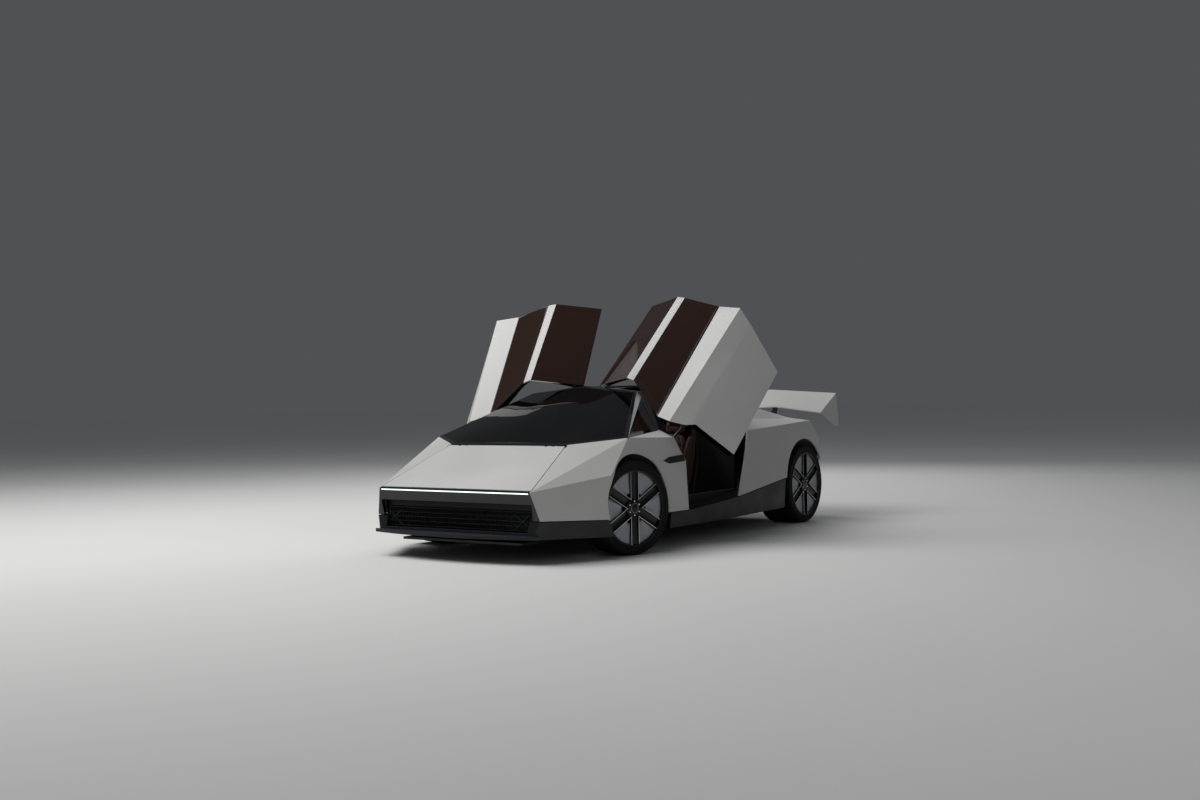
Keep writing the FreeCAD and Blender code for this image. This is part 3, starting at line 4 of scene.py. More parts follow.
import bmesh
import bpy
import numpy as np
from bpy.props import FloatProperty, FloatVectorProperty, IntProperty, PointerProperty
from mathutils import Matrix, Vector

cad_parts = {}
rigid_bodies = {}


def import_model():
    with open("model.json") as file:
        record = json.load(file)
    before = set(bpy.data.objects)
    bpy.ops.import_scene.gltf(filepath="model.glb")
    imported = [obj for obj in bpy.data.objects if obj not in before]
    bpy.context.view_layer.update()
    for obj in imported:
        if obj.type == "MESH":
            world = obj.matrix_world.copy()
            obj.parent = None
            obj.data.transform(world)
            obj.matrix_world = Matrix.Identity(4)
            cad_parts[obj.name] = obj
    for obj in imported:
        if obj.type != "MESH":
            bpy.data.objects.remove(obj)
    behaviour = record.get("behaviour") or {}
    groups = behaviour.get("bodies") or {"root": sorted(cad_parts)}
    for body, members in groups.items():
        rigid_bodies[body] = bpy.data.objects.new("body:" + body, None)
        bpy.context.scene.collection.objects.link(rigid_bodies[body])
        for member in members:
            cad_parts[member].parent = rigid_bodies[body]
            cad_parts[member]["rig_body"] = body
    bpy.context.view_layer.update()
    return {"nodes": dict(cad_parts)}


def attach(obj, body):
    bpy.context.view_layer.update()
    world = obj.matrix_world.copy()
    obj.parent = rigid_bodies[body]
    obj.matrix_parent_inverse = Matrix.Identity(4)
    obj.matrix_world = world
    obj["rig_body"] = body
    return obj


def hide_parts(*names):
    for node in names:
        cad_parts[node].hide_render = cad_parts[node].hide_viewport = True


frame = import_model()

bl_info = {
    "name": "Wedge supercar looks",
    "version": (1, 0, 0),
    "blender": (4, 5, 0),
    "location": "View3D > Sidebar > Supercar",
    "description": "Finishes and trim for a faceted supercar with raised doors",
    "category": "Object",
}

MM = 0.001
SIDES = (("left", 1), ("right", -1))
ALONG_X, ALONG_Z = np.array((1.0, 0, 0)), np.array((0, 0, 1.0))
# Places of the axles along the car, of the wheels' centres and of the kingpins, and each axle's tyre width
AXLES = {"front": -1.2725, "rear": 1.4275}
TYRE_WIDTHS = {"front": 0.255, "rear": 0.315}
WHEEL_HEIGHT = 0.335
WHEEL_FACE = 0.986
KINGPIN = 0.8
STEER_REST = math.radians(-15)
# Door hinge line and the angle that the doors stand open at rest
HINGE_POINT = np.array((0.8, -0.8135, 0.843))
HINGE_AXIS = np.array((0.801, -0.418, -0.428)) / np.linalg.norm((0.801, -0.418, -0.428))
DOOR_OPEN = math.radians(56.7)
# Edges sharper than this are bevelled and shaded sharp on the dressed pieces
SHARP = math.radians(24)
# How far the middle of each seat lies from the car's middle
SEAT_MIDDLE = 0.35


def linear(text):
    """An sRGB hex colour as linear red, green, blue and one."""
    value = np.array([int(text[i:i + 2], 16) for i in (1, 3, 5)]) / 255
    low, high = value / 12.92, ((value + 0.055) / 1.055) ** 2.4
    return (*np.where(value <= 0.04045, low, high), 1)


def add_node(tree, kind, inputs=None, **settings):
    """Adds one node: settings are its own values, inputs its sockets' values or what feeds them."""
    node = tree.nodes.new(kind)
    for key, value in settings.items():
        setattr(node, key, value)
    for key, value in (inputs or {}).items():
        if isinstance(value, bpy.types.NodeSocket):
            tree.links.new(value, node.inputs[key])
        else:
            node.inputs[key].default_value = value
    return node


# Each finish: its material's name, light and dark shade (or the panel's colour of the same key), patch in mm,
# roughness from and to, grain and relief in mm, and what else the shader is given
FINISHES = {
    # Satin metallic coat sprayed on composite: pale silver-white with a soft, wide highlight
    "paint": ("satin_silver_white_paint", None, None, 700, (0.38, 0.46), 5, 0.03,
              {"Metallic": 0.04, "Coat Weight": 0.2, "Coat Roughness": 0.26, "Specular IOR Level": 0.4}),
    # Gloss lacquer over black composite: mirror-like, near black with a navy tinge
    "band": ("navy_black_gloss_lacquer", None, None, 400, (0.12, 0.2), 30, 0.02,
             {"Coat Weight": 0.4, "Coat Roughness": 0.05, "Specular IOR Level": 0.35}),
    # Satin lacquer over the blade's upper side: dark blue-grey with a soft sheen
    "slate": ("slate_blue_satin_lacquer", "#3A4350", "#2C333E", 300, (0.3, 0.4), 20, 0.02,
              {"Coat Weight": 0.3, "Coat Roughness": 0.2}),
    # Satin moulded carbon composite: even black with a fine cloudy grain, drawn at 6 mm so that it shows
    "composite": ("satin_moulded_composite", "#17181B", "#0E0F11", 160, (0.42, 0.58), 6, 0.12, {"IOR": 1.5}),
    # Laminated glass with a dark tint: black and mirror-smooth, the cabin barely shows through
    "laminate": ("dark_laminated_glass", "#08080A", "#050506", 900, (0.02, 0.04), 400, 0.02,
                 {"Transmission Weight": 0.1, "IOR": 1.5, "Specular IOR Level": 0.2}),
    # Bronze tinted toughened glass with a dark lining behind: warm brown and glossy
    "pane": ("bronze_tinted_glass", None, None, 900, (0.05, 0.09), 400, 0.02,
             {"Transmission Weight": 0.05, "IOR": 1.5, "Specular IOR Level": 0.22}),
    # Full-grain upholstery leather: pebbled cells of about 1.5 mm, drawn at 7 mm so that they show
    "leather": ("brown_upholstery_leather", None, None, 90, (0.46, 0.6), 7, 0.5,
                {"Sheen Weight": 0.1, "Specular IOR Level": 0.4}),
    # Waxed polyester thread: pale and matt, twisted
    "thread": ("waxed_seam_thread", "#A58E78", "#846C58", 20, (0.6, 0.7), 3, 0.3, {}),
    # Brushed microfibre: matt, with a soft edge glow and fine nap
    "suede": ("brushed_microfibre", "#2A2422", "#1B1716", 60, (0.85, 0.95), 4, 0.3, {"Sheen Weight": 0.4}),
    # Cut-pile carpet: short dark tufts of 2 mm, drawn at 9 mm
    "carpet": ("cut_pile_carpet", "#1D1A19", "#0F0E0D", 70, (0.9, 1.0), 9, 1.5, {"Sheen Weight": 0.2}),
    # Vulcanised rubber: matt charcoal, slightly dusty in patches
    "tyre": ("vulcanised_tyre_rubber", "#171718", "#0D0D0E", 60, (0.72, 0.9), 4, 0.2,
             {"Specular IOR Level": 0.25}),
    # Cover glass over a display that is off: black, with a soft anti-glare sheen
    "display": ("anti_glare_display_glass", "#08090B", "#050506", 200, (0.12, 0.18), 120, 0.01, {"IOR": 1.5}),
    # Extruded sealing rubber: soft black
    "rubber": ("extruded_sealing_rubber", "#141414", "#0D0D0D", 40, (0.6, 0.75), 5, 0.1, {}),
    # Satin anodised aluminium plate: even silver-grey with a faint turned grain
    "wheel_plate": ("satin_anodised_aluminium", None, None, 120, (0.4, 0.5), 5, 0.04, {"Metallic": 0.6}),
    # Diamond-cut aluminium: bright narrow edges
    "bright": ("diamond_cut_aluminium", "#D9DADB", "#BFC0C2", 40, (0.14, 0.24), 6, 0.02, {"Metallic": 1.0}),
    # Black gloss powder coat: smooth with a slight orange peel
    "powder": ("black_powder_coat", "#09090A", "#050506", 90, (0.26, 0.38), 12, 0.05,
               {"Coat Weight": 0.15, "Coat Roughness": 0.15, "Specular IOR Level": 0.3}),
    # Ground carbon-ceramic disc: dark grey
    "disc": ("ground_brake_disc", "#6B6A69", "#4A4948", 35, (0.35, 0.5), 4, 0.1, {"Metallic": 0.7}),
    # Baked copper-bronze caliper enamel
    "caliper": ("copper_caliper_enamel", "#A0552B", "#7C3D1D", 80, (0.28, 0.4), 8, 0.05,
                {"Metallic": 0.6, "Coat Weight": 0.4, "Coat Roughness": 0.15}),
    # Sand-cast aluminium: dull grey with a grainy skin
    "cast": ("sand_cast_aluminium", "#7F8183", "#5E6062", 60, (0.45, 0.62), 5, 0.5, {"Metallic": 0.8}),
    # Textured casing coat: dark grey, slightly rough
    "casing": ("textured_casing_coat", "#35373A", "#232528", 80, (0.55, 0.7), 7, 0.6, {"Metallic": 0.3}),
    # Opal acrylic over white diodes, a little green
    "white_light": ("opal_acrylic_white_light", "#E4F5EC", "#E4F5EC", 50, (0.18, 0.24), 10, 0.02,
                    {"Emission Color": linear("#E4F5EC"), "Emission Strength": 1.6, "IOR": 1.49}),
    # Red acrylic over diodes
    "red_light": ("red_acrylic_tail_light", "#B3121A", "#B3121A", 50, (0.18, 0.24), 10, 0.02,
                  {"Emission Color": linear("#B3121A"), "Emission Strength": 0.9, "IOR": 1.49}),
    # Matt coated floor: pale and even
    "floor": ("pale_studio_floor", "#DADAD8", "#D2D2D0", 4000, (0.7, 0.8), 60, 0.05,
              {"Specular IOR Level": 0.2}),
}


def shades(key):
    """The light and the dark shade of a colour that the panel sets."""
    value = np.clip(np.array(getattr(bpy.context.scene.supercar_colours, key)), 0, 1)
    return ["#" + "".join(f"{round(v * 255):02X}" for v in value * share) for share in (1, 0.86)]


def finish(key):
    """One material by its key. Cloudy noise in patches drifts the colour from dark to light and the roughness
    between its two values. A finer grain, cells for leather and noise otherwise, is raised by the relief."""
    name, light, dark, patch, rough, grain, height, values = FINISHES[key]
    if name in bpy.data.materials:
        return bpy.data.materials[name]
    if light is None:
        light, dark = shades(key)
    material = bpy.data.materials.new(name)
    material.use_nodes = True
    tree = material.node_tree
    tree.nodes.clear()
    place = add_node(tree, "ShaderNodeTexCoord").outputs["Object"]
    cloud = add_node(tree, "ShaderNodeTexNoise",
                     {"Vector": place, "Scale": 1 / (patch * MM), "Detail": 4.0}).outputs["Fac"]
    tone = add_node(tree, "ShaderNodeMix", {"Factor": cloud, "A": linear(dark), "B": linear(light)},
                    data_type="RGBA")
    spread = add_node(tree, "ShaderNodeMapRange", {
        "Value": cloud, "From Min": 0.3, "From Max": 0.7, "To Min": rough[0], "To Max": rough[1]})
    pattern = {"Vector": place, "Scale": 1 / (grain * MM)}
    if key == "leather":
        relief = add_node(tree, "ShaderNodeTexVoronoi", pattern).outputs["Distance"]
    else:
        relief = add_node(tree, "ShaderNodeTexNoise", {**pattern, "Detail": 2.0}).outputs["Fac"]
    bump = add_node(tree, "ShaderNodeBump", {"Height": relief, "Strength": 0.6, "Distance": height * MM})
    body = add_node(tree, "ShaderNodeBsdfPrincipled",
                    {"Base Color": tone.outputs["Result"], "Roughness": spread.outputs["Result"],
                     "Normal": bump.outputs["Normal"], **values})
    add_node(tree, "ShaderNodeOutputMaterial", {"Surface": body.outputs["BSDF"]})
    return material


def riding(name, mesh, materials, indices, smooth, body):
    """An object of a mesh that rides on a body. Indices give each face's material, and edges that turn by
    more than the smooth angle are shaded sharp."""
    for key in materials:
        mesh.materials.append(finish(key))
    mesh.polygons.foreach_set("material_index", np.asarray(indices, np.int32))
    mesh.polygons.foreach_set("use_smooth", np.ones(len(mesh.polygons), bool))
    mesh.set_sharp_from_angle(angle=smooth)
    mesh.update()
    piece = bpy.data.objects.new(name, mesh)
    bpy.context.scene.collection.objects.link(piece)
    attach(piece, body)
    return piece


def mesh_piece(name, points, faces, body, slot, materials, indices=None, smooth=40.0):
    """An object from points and faces, with faces pointing outwards, that rides on a body."""
    mesh = bpy.data.meshes.new(name)
    mesh.from_pydata(np.asarray(points, float).reshape(-1, 3).tolist(), [], [list(f) for f in faces])
    indices = np.zeros(len(faces)) if indices is None else indices
    piece = riding(name, mesh, materials, indices, math.radians(smooth), body)
    work = bmesh.new()
    work.from_mesh(mesh)
    bmesh.ops.remove_doubles(work, verts=work.verts, dist=1e-6)
    bmesh.ops.recalc_face_normals(work, faces=work.faces)
    work.to_mesh(mesh)
    work.free()
    return piece


def grid_faces(rows, columns, wrap_rows=False, wrap_columns=False, flip=False):
    """Four-cornered faces between neighbours of a grid of points; a wrapped side joins its last to its
    first."""
    i = np.arange(rows if wrap_rows else rows - 1)
    j = np.arange(columns if wrap_columns else columns - 1)
    i, j = np.meshgrid(i, j, indexing="ij")
    a, b = i * columns + j, i * columns + (j + 1) % columns
    c, d = ((i + 1) % rows) * columns + (j + 1) % columns, ((i + 1) % rows) * columns + j
    quads = np.stack([a, b, c, d], -1).reshape(-1, 4)
    return quads[:, ::-1] if flip else quads


def capped(rows, columns):
    """Faces of a grid of points whose rows close into rings, with a cap on the first and on the last."""
    last = (rows - 1) * columns
    return [*grid_faces(rows, columns, False, True), range(columns)[::-1], range(last, last + columns)]


def lathe(profile, steps):
    """A closed profile of (x, radius) turned about the X axis: y = -r sin a, z = r cos a."""
    x, r = np.asarray(profile, float).T
    a = (np.arange(steps) * 2 * math.pi / steps)[:, None]
    points = np.stack([np.broadcast_to(x, (steps, len(x))), -np.sin(a) * r, np.cos(a) * r], -1)
    return points.reshape(-1, 3), grid_faces(steps, len(profile), True, True)


def joined(parts):
    """Several (points, faces, material index) as one list of points, faces and indices."""
    points, faces, indices, start = [], [], [], 0
    for part_points, part_faces, index in parts:
        part_points = np.asarray(part_points, float).reshape(-1, 3)
        points.append(part_points)
        for face in part_faces:
            faces.append([int(v) + start for v in face])
        indices += [index] * len(part_faces)
        start += len(part_points)
    return np.concatenate(points), faces, indices


def carried(path, profile, up, closed=False):
    """A profile of (out, up) carried along a flat path, mitred at its corners."""
    path, up = np.asarray(path, float), np.asarray(up, float)
    ahead = np.roll(path, -1, 0) - path
    if not closed:
        ahead[-1] = ahead[-2]
    ahead /= np.linalg.norm(ahead, axis=1)[:, None]
    side_out = np.cross(ahead, up)
    side_in = np.roll(side_out, 1, 0)
    if not closed:
        side_in[0] = side_out[0]
    mitre = (side_in + side_out) / (1 + (side_in * side_out).sum(1))[:, None]
    profile = np.asarray(profile, float)
    return path[:, None] + mitre[:, None] * profile[None, :, :1] + up * profile[None, :, 1:]


def bar(path, profile, up, closed=False):
    """A closed bar: its carried profile's faces, and end caps where the path is open."""
    points = carried(path, profile, up, closed)
    size = points.shape[:2]
    return points.reshape(-1, 3), grid_faces(*size, True, True) if closed else capped(*size)


def tube(path, radius, guide, sides=8):
    """A closed round cord along a path. Each ring is the path's point plus radius times (cos a, sin a) in the
    plane across the path, whose first direction is square to the guide."""
    path = np.asarray(path, float)
    ahead = np.gradient(path, axis=0)
    ahead /= np.linalg.norm(ahead, axis=1)[:, None]
    first = np.cross(ahead, guide)
    first /= np.linalg.norm(first, axis=1)[:, None]
    second = np.cross(ahead, first)
    a = np.linspace(0, 2 * math.pi, sides, endpoint=False)[None, :, None]
    points = path[:, None] + radius * (np.cos(a) * first[:, None] + np.sin(a) * second[:, None])
    return points.reshape(-1, 3), capped(len(path), sides)


def slab(width, height, depth, corner, edge, steps=5):
    """A rounded plate across X and Z, depth thick along Y. Its outline is a rectangle with circular corners,
    and it shrinks towards both faces by edge times one less the sine of an angle that runs over a quarter
    circle."""
    bend = np.linspace(0, math.pi / 2, steps)
    shrink = edge * (1 - np.sin(bend))
    inset = np.concatenate([shrink, shrink[::-1]])
    y = np.concatenate([-depth / 2 + edge * (1 - np.cos(bend)), depth / 2 - edge * (1 - np.cos(bend[::-1]))])
    turns = np.linspace(0, math.pi / 2, 6)
    middles = np.array([(1, 1), (-1, 1), (-1, -1), (1, -1)]) * (width / 2 - corner, height / 2 - corner)
    angle = turns[None] + np.arange(4)[:, None] * math.pi / 2
    around = np.stack([np.cos(angle), np.sin(angle)], -1)
    outline = middles[:, None] + around * (corner - inset)[:, None, None, None]
    outline = outline.reshape(len(y), -1, 2)
    points = np.stack([outline[..., 0], np.broadcast_to(y[:, None], outline.shape[:2]), outline[..., 1]], -1)
    return points.reshape(-1, 3), capped(*points.shape[:2])


def placed(piece, centre, tilt=0.0, turn=0.0):
    """A (points, faces) piece leant about X by tilt, then turned about Z, in radians, and moved to its
    centre."""
    points, faces = piece
    points = turn_about(points, np.zeros(3), ALONG_X, tilt)
    points = turn_about(points, np.zeros(3), ALONG_Z, turn)
    return points + centre, faces


def turn_about(points, point, axis, angle):
    """Points turned about a line by the right-hand rule."""
    shift = np.asarray(points, float) - point
    c, s = math.cos(angle), math.sin(angle)
    return point + shift * c + np.cross(axis, shift) * s + (shift @ axis)[..., None] * axis * (1 - c)


def opened(points, side):
    """Points of a left door given shut, swung up to its place at rest, and mirrored for the right one."""
    moved = turn_about(points, HINGE_POINT, HINGE_AXIS, DOOR_OPEN)
    return moved * (side, 1, 1)


def to_wheel(points, axle, side):
    """Points of a left wheel about the X axis with its outer face at 0, moved to its place."""
    moved = (np.asarray(points, float) + (WHEEL_FACE, AXLES[axle], WHEEL_HEIGHT)) * (side, 1, 1)
    if axle == "front":
        moved = turn_about(moved, np.array((side * KINGPIN, AXLES[axle], 0)), ALONG_Z, STEER_REST)
    return moved


def flipped(faces, side):
    """Faces turned over for a mirrored piece, so that they still point outwards."""
    return [list(f)[::-1] for f in faces] if side < 0 else [list(f) for f in faces]


def trim(name, parts, body, slot, materials, smooth=40.0, side=None):
    """One object from several closed (points, faces, material index). Where a side is given, they are those
    of the shut left door, and are swung up to rest and mirrored for the right one."""
    points, faces, indices = joined(parts)
    if side:
        points, faces = opened(points, side), flipped(faces, side)
    return mesh_piece(name, points, faces, body, slot, materials, indices, smooth)


def dressed(node, materials, bevel=1.6, choose=None):
    """A merged copy of a CAD node whose edges are broken by a bevel of that many mm; it stands for the node.
    choose takes the faces' middles and normals and gives each face's material."""
    source = frame["nodes"][node]
    mesh = source.data.copy()
    mesh.name = node + "_dressed"
    work = bmesh.new()
    work.from_mesh(mesh)
    bmesh.ops.remove_doubles(work, verts=work.verts, dist=2e-5)
    bmesh.ops.dissolve_degenerate(work, edges=work.edges, dist=1e-5)
    bmesh.ops.dissolve_limit(work, angle_limit=math.radians(0.4), verts=work.verts, edges=work.edges)
    work.to_mesh(mesh)
    work.free()
    mesh.materials.clear()
    if "custom_normal" in mesh.attributes:
        mesh.attributes.remove(mesh.attributes["custom_normal"])
    indices = np.zeros(len(mesh.polygons))
    if choose:
        faces = mesh.polygons
        indices = choose(np.array([f.center for f in faces]), np.array([f.normal for f in faces]))
    piece = riding(node + "_finish", mesh, materials, indices, SHARP, source["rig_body"])
    if bevel:
        soft = piece.modifiers.new("broken_edge", "BEVEL")
        soft.width = bevel * MM
        soft.segments = 2
        soft.limit_method = "ANGLE"
        soft.angle_limit = SHARP
        soft.harden_normals = True
        soft.use_clamp_overlap = True
    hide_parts(node)
    return piece


def shade_property(name, description, default):
    """A colour for the panel, as sRGB shares."""
    return FloatVectorProperty(name=name, description=description, default=default, subtype="COLOR_GAMMA",
                               min=0, max=1)


def length_property(name, description, default):
    """A length for the panel, in metres."""
    return FloatProperty(name=name, description=description, default=default, unit="LENGTH",
                         subtype="DISTANCE")


class SupercarColours(bpy.types.PropertyGroup):
    """Colours of the painted, glazed and trimmed pieces, as sRGB shares."""

    paint: shade_property("Paint", "Satin paint of the upper panels", (0.80, 0.80, 0.79))
    band: shade_property("Band", "Gloss lacquer of the nose band and pillars", (0.040, 0.050, 0.072))
    pane: shade_property("Panes", "Bronze glass of the doors and roof", (0.180, 0.120, 0.100))
    leather: shade_property("Leather", "Upholstery leather", (0.27, 0.175, 0.135))
    wheel_plate: shade_property("Wheel plates", "Anodised plates between the spokes", (0.66, 0.67, 0.69))


class SupercarSizes(bpy.types.PropertyGroup):
    """Sizes of the added trim."""

    tread_pitches: IntProperty(name="Tread pitches", description="Blocks round each tyre's tread", default=64,
                               min=24, max=96)
    groove_depth: length_property("Groove depth", "Depth of the tread grooves", 0.006)
    edge_width: length_property("Bright edge width", "Width of the wheels' bright edges", 0.0034)
    seal_width: length_property("Seal width", "Width of the rubber seals round the panes", 0.008)


def door_finish(middles, normals, side):
    """Each face's finish on a door, judged on the shut left door: 0 paint, 1 bronze glass, 2 dark. The rail
    and shoulder are painted, the facets round the side glass and the roof are glazed to their edges, and
    whatever faces inwards, forwards or backwards is dark."""
    place = turn_about(middles * (side, 1, 1), HINGE_POINT, HINGE_AXIS, -DOOR_OPEN)
    nx, ny, nz = turn_about(normals * (side, 1, 1), np.zeros(3), HINGE_AXIS, -DOOR_OPEN).T
    outer = (nx > 0.05) & (nz > 0.02) & (np.abs(ny) < 0.6)
    roof = outer & (nz > 0.97) & (place[:, 2] > 1.12)
    pane = outer & (nx > 0.615) & (nx < 0.8) & (nz > 0.55)
    return np.where(roof | pane, 1, np.where(outer, 0, 2))


class SUPERCAR_OT_painted_panels(bpy.types.Operator):
    """Finish the painted fenders, quarters, doors, hood, wing and tail panel"""

    bl_idname = "supercar.painted_panels"
    bl_label = "Painted panels"

    def execute(self, context):
        for name, side in SIDES:
            for node in ("fender_", "rear_quarter_"):
                dressed(node + name, ["paint"], 2.0)
            dressed("door_" + name, ["paint", "pane", "band"], 2.0,
                    lambda middles, normals, side=side: door_finish(middles, normals, side))
        for node in ("front_lid", "rear_fascia"):
            dressed(node, ["paint"], 1.8)

        def wing_side(middles, normals):
            # The wing's under side and its two pylons are black, and its end plates are painted
            under = (normals[:, 2] < -0.5) | (middles[:, 2] < 0.96)
            return np.where((np.abs(middles[:, 0]) < 0.88) & under, 1, 0)

        dressed("wing", ["paint", "composite"], 1.8, wing_side)
        return {"FINISHED"}


class SUPERCAR_OT_black_shell(bpy.types.Operator):
    """Finish the gloss band, pillars and rear deck, and the satin lower body"""

    bl_idname = "supercar.black_shell"
    bl_label = "Black shell"

    def execute(self, context):
        def pillar(middles, normals):
            # The screen pillars' upper facets lean forwards a little and are painted, as the doors' rails are
            slope = np.abs(np.abs(normals[:, 0]) - 0.59) < 0.05
            return np.where(slope & (normals[:, 2] > 0.75) & (normals[:, 1] < -0.03), 1, 0)

        def lip(middles, normals):
            # The blade's upper side is lacquered and the rest is moulded composite
            return np.where((normals[:, 2] > 0.3) & (middles[:, 1] < -2.1), 1, 0)

        for node in ("front_fascia", "rear_deck"):
            dressed(node, ["band"], 1.4)
        dressed("screen_frame", ["band", "paint"], 1.4, pillar)
        dressed("splitter", ["composite", "slate"], 2.0, lip)
        for node in ("side_sill_left", "side_sill_right", "diffuser", "floor_pan"):
            dressed(node, ["composite"], 2.0)
        dressed("arch_liners", ["carpet"], 0)
        for node in ("cabin_tub", "load_tub"):
            dressed(node, ["carpet"], 3.0)
        return {"FINISHED"}


def rims(mesh, chosen):
    """The closed loops of corners where the chosen faces end, walked so that the faces lie on the left."""
    directed = set()
    for polygon in mesh.polygons:
        if chosen[polygon.index]:
            corners = list(polygon.vertices)
            directed.update(zip(corners, corners[1:] + corners[:1]))
    following = {a: b for a, b in sorted(directed) if (b, a) not in directed}
    loops = []
    while following:
        start = min(following)
        loop, here = [start], following.pop(start)
        while here != start:
            loop.append(here)
            here = following.pop(here, start)
        loops.append(np.array([mesh.vertices[v].co for v in loop]))
    return loops


def seal(pane, node, width):
    """Flat rubber strips along the borders of a pane's outer faces, 0.7 mm proud of them. The faces that lean
    less than 25 degrees from the largest one left share a strip, and a pane's narrow edges get none."""
    narrow = 0.007
    normals = np.array([p.normal for p in pane.data.polygons])
    areas = np.array([p.area for p in pane.data.polygons]) * (normals[:, 2] > 0.3)
    profile = [(-width / 2, -0.001), (width / 2, -0.001), (width / 2, 0.0007), (-width / 2, 0.0007)]
    parts = []
    while areas.max() > narrow:
        facing = normals[areas.argmax()]
        chosen = (normals @ facing > 0.9) & (areas > 0)
        areas[chosen] = 0
        parts += [(*bar(loop, profile, facing, True), 0) for loop in rims(pane.data, chosen)]
    trim(node + "_seal", parts, frame["nodes"][node]["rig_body"], "carbon_black", ["rubber"], 30)


class SUPERCAR_OT_glazing(bpy.types.Operator):
    """Finish the windscreen, rear window, quarter panes and door and roof glass"""

    bl_idname = "supercar.glazing"
    bl_label = "Glazing"

    def execute(self, context):
        width = context.scene.supercar_sizes.seal_width
        for node in ("windscreen", "rear_window"):
            seal(dressed(node, ["laminate"], 0.8), node, width)
        for node in ("quarter_panes", "door_glass_left", "door_glass_right"):
            seal(dressed(node, ["pane"], 0.8), node, width)
        return {"FINISHED"}


class SUPERCAR_OT_lights(bpy.types.Operator):
    """Finish the thin front light and the full-width tail light"""

    bl_idname = "supercar.lights"
    bl_label = "Lights"

    def execute(self, context):
        # The bars' housings, which are all but their outward sides, are dark
        for node, cover, slot, way in (("front_light_bar", "white_light", "light_white", -1),
                                       ("tail_light_bar", "red_light", "light_red", 1)):
            dressed(node, [cover, "composite"], 0.8,
                    lambda middles, normals, way=way: np.where(way * normals[:, 1] > 0.3, 0, 1))
        return {"FINISHED"}


def tyre_surface(width, pitches, depth):
    """A tyre about the X axis, as radius against place across and angle round it. The profile runs bead,
    sidewall, shoulder, tread and back. Four grooves run round the tread, and slanted cuts cross its outer
    ribs, narrow and steep-sided, so the radius drops by depth inside them."""
    radius, bead, corner = WHEEL_HEIGHT, 0.2725, 0.022
    half, edge = 0.0045, 0.0008
    flat = width - 2 * corner
    grooves = np.array((0.2, 0.4, 0.6, 0.8)) * flat + corner
    ribs = np.array((0.5, 0.3, 0.7, 0.1, 0.9)) * flat + corner
    steps = (-half - edge, -half, half, half + edge)
    tread = np.sort(np.concatenate([*(grooves + step for step in steps), ribs]))
    bend = np.linspace(0, math.pi / 2, 6)
    wall_r = np.array((bead, bead + 0.006, 0.286, 0.288, 0.296, 0.298, 0.306))
    wall_x = np.array((0.004, 0.0005, 0.0, 0.0012, 0.0012, 0.0, 0.0))
    shoulder_r = radius - corner + corner * np.sin(bend)
    shoulder_x = corner - corner * np.cos(bend)
    x = np.concatenate([wall_x, shoulder_x, tread, width - shoulder_x[::-1], width - wall_x[::-1]])
    r = np.concatenate([wall_r, shoulder_r, np.full(len(tread), radius), shoulder_r[::-1], wall_r[::-1]])
    near = np.abs(x[:, None] - grooves[None]).min(1)
    on_tread = (x > corner + 1e-6) & (x < width - corner - 1e-6)
    ring_cut = np.where(on_tread & (near <= half + 1e-6), 1.0, 0.0)
    # Each pitch has one cut, from 0 to 0.17 of its length, with steep sides
    marks = np.array((0.0, 0.03, 0.14, 0.17, 0.6))
    steps = (np.arange(pitches)[:, None] + marks[None]).ravel() / pitches
    level = np.tile(np.array((0.0, 1.0, 1.0, 0.0, 0.0)), pitches)
    # The cuts start at a share of the width off the middle and are a little shallower than the grooves
    start, ramp, share, lean = 0.16, 0.02, 0.85, 0.35
    off = np.abs(x - width / 2)
    outer = np.clip((off - width * start) / (width * ramp), 0, 1) * (r > radius - 0.012)
    cut = np.maximum(ring_cut[None], level[:, None] * outer[None] * share)
    slant = off / radius * lean
    angle = steps[:, None] * 2 * math.pi + slant[None]
    radii = r[None] - depth * cut
    return np.stack([np.broadcast_to(-x, radii.shape), -np.sin(angle) * radii, np.cos(angle) * radii], -1)


class SUPERCAR_OT_tyres(bpy.types.Operator):
    """Build the four tyres with grooved treads and ringed sidewalls"""

    bl_idname = "supercar.tyres"
    bl_label = "Tyres"

    def execute(self, context):
        sizes = context.scene.supercar_sizes
        for axle, width in TYRE_WIDTHS.items():
            surface = tyre_surface(width, sizes.tread_pitches, sizes.groove_depth)
            faces = grid_faces(*surface.shape[:2], True, True, flip=True)
            for name, side in SIDES:
                piece = mesh_piece(f"tyre_{axle}_{name}_tread", to_wheel(surface.reshape(-1, 3), axle, side),
                                   flipped(faces, side), f"roller_{axle}_{name}", "tyre_rubber",
                                   ["tyre"], smooth=35)
                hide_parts(f"tyre_{axle}_{name}")
        return {"FINISHED"}


# Wheel sizes shared by its pieces, in metres
BEAD = 0.2717
PLATE_RECESS = 0.014
PLATE_INNER = 0.112
PLATE_THICK = 0.006
CHANNEL_HALF = 0.034
SPOKES = 6
# Angles from upright, at rest, of the gaps between the spokes: one spoke stands upright
GAPS = [math.radians(60 * i + 30) for i in range(SPOKES)]


def upright(angle):
    """The direction across the X axis at that angle from upright: y = -sin a, z = cos a."""
    return np.array((0, -math.sin(angle), math.cos(angle)))


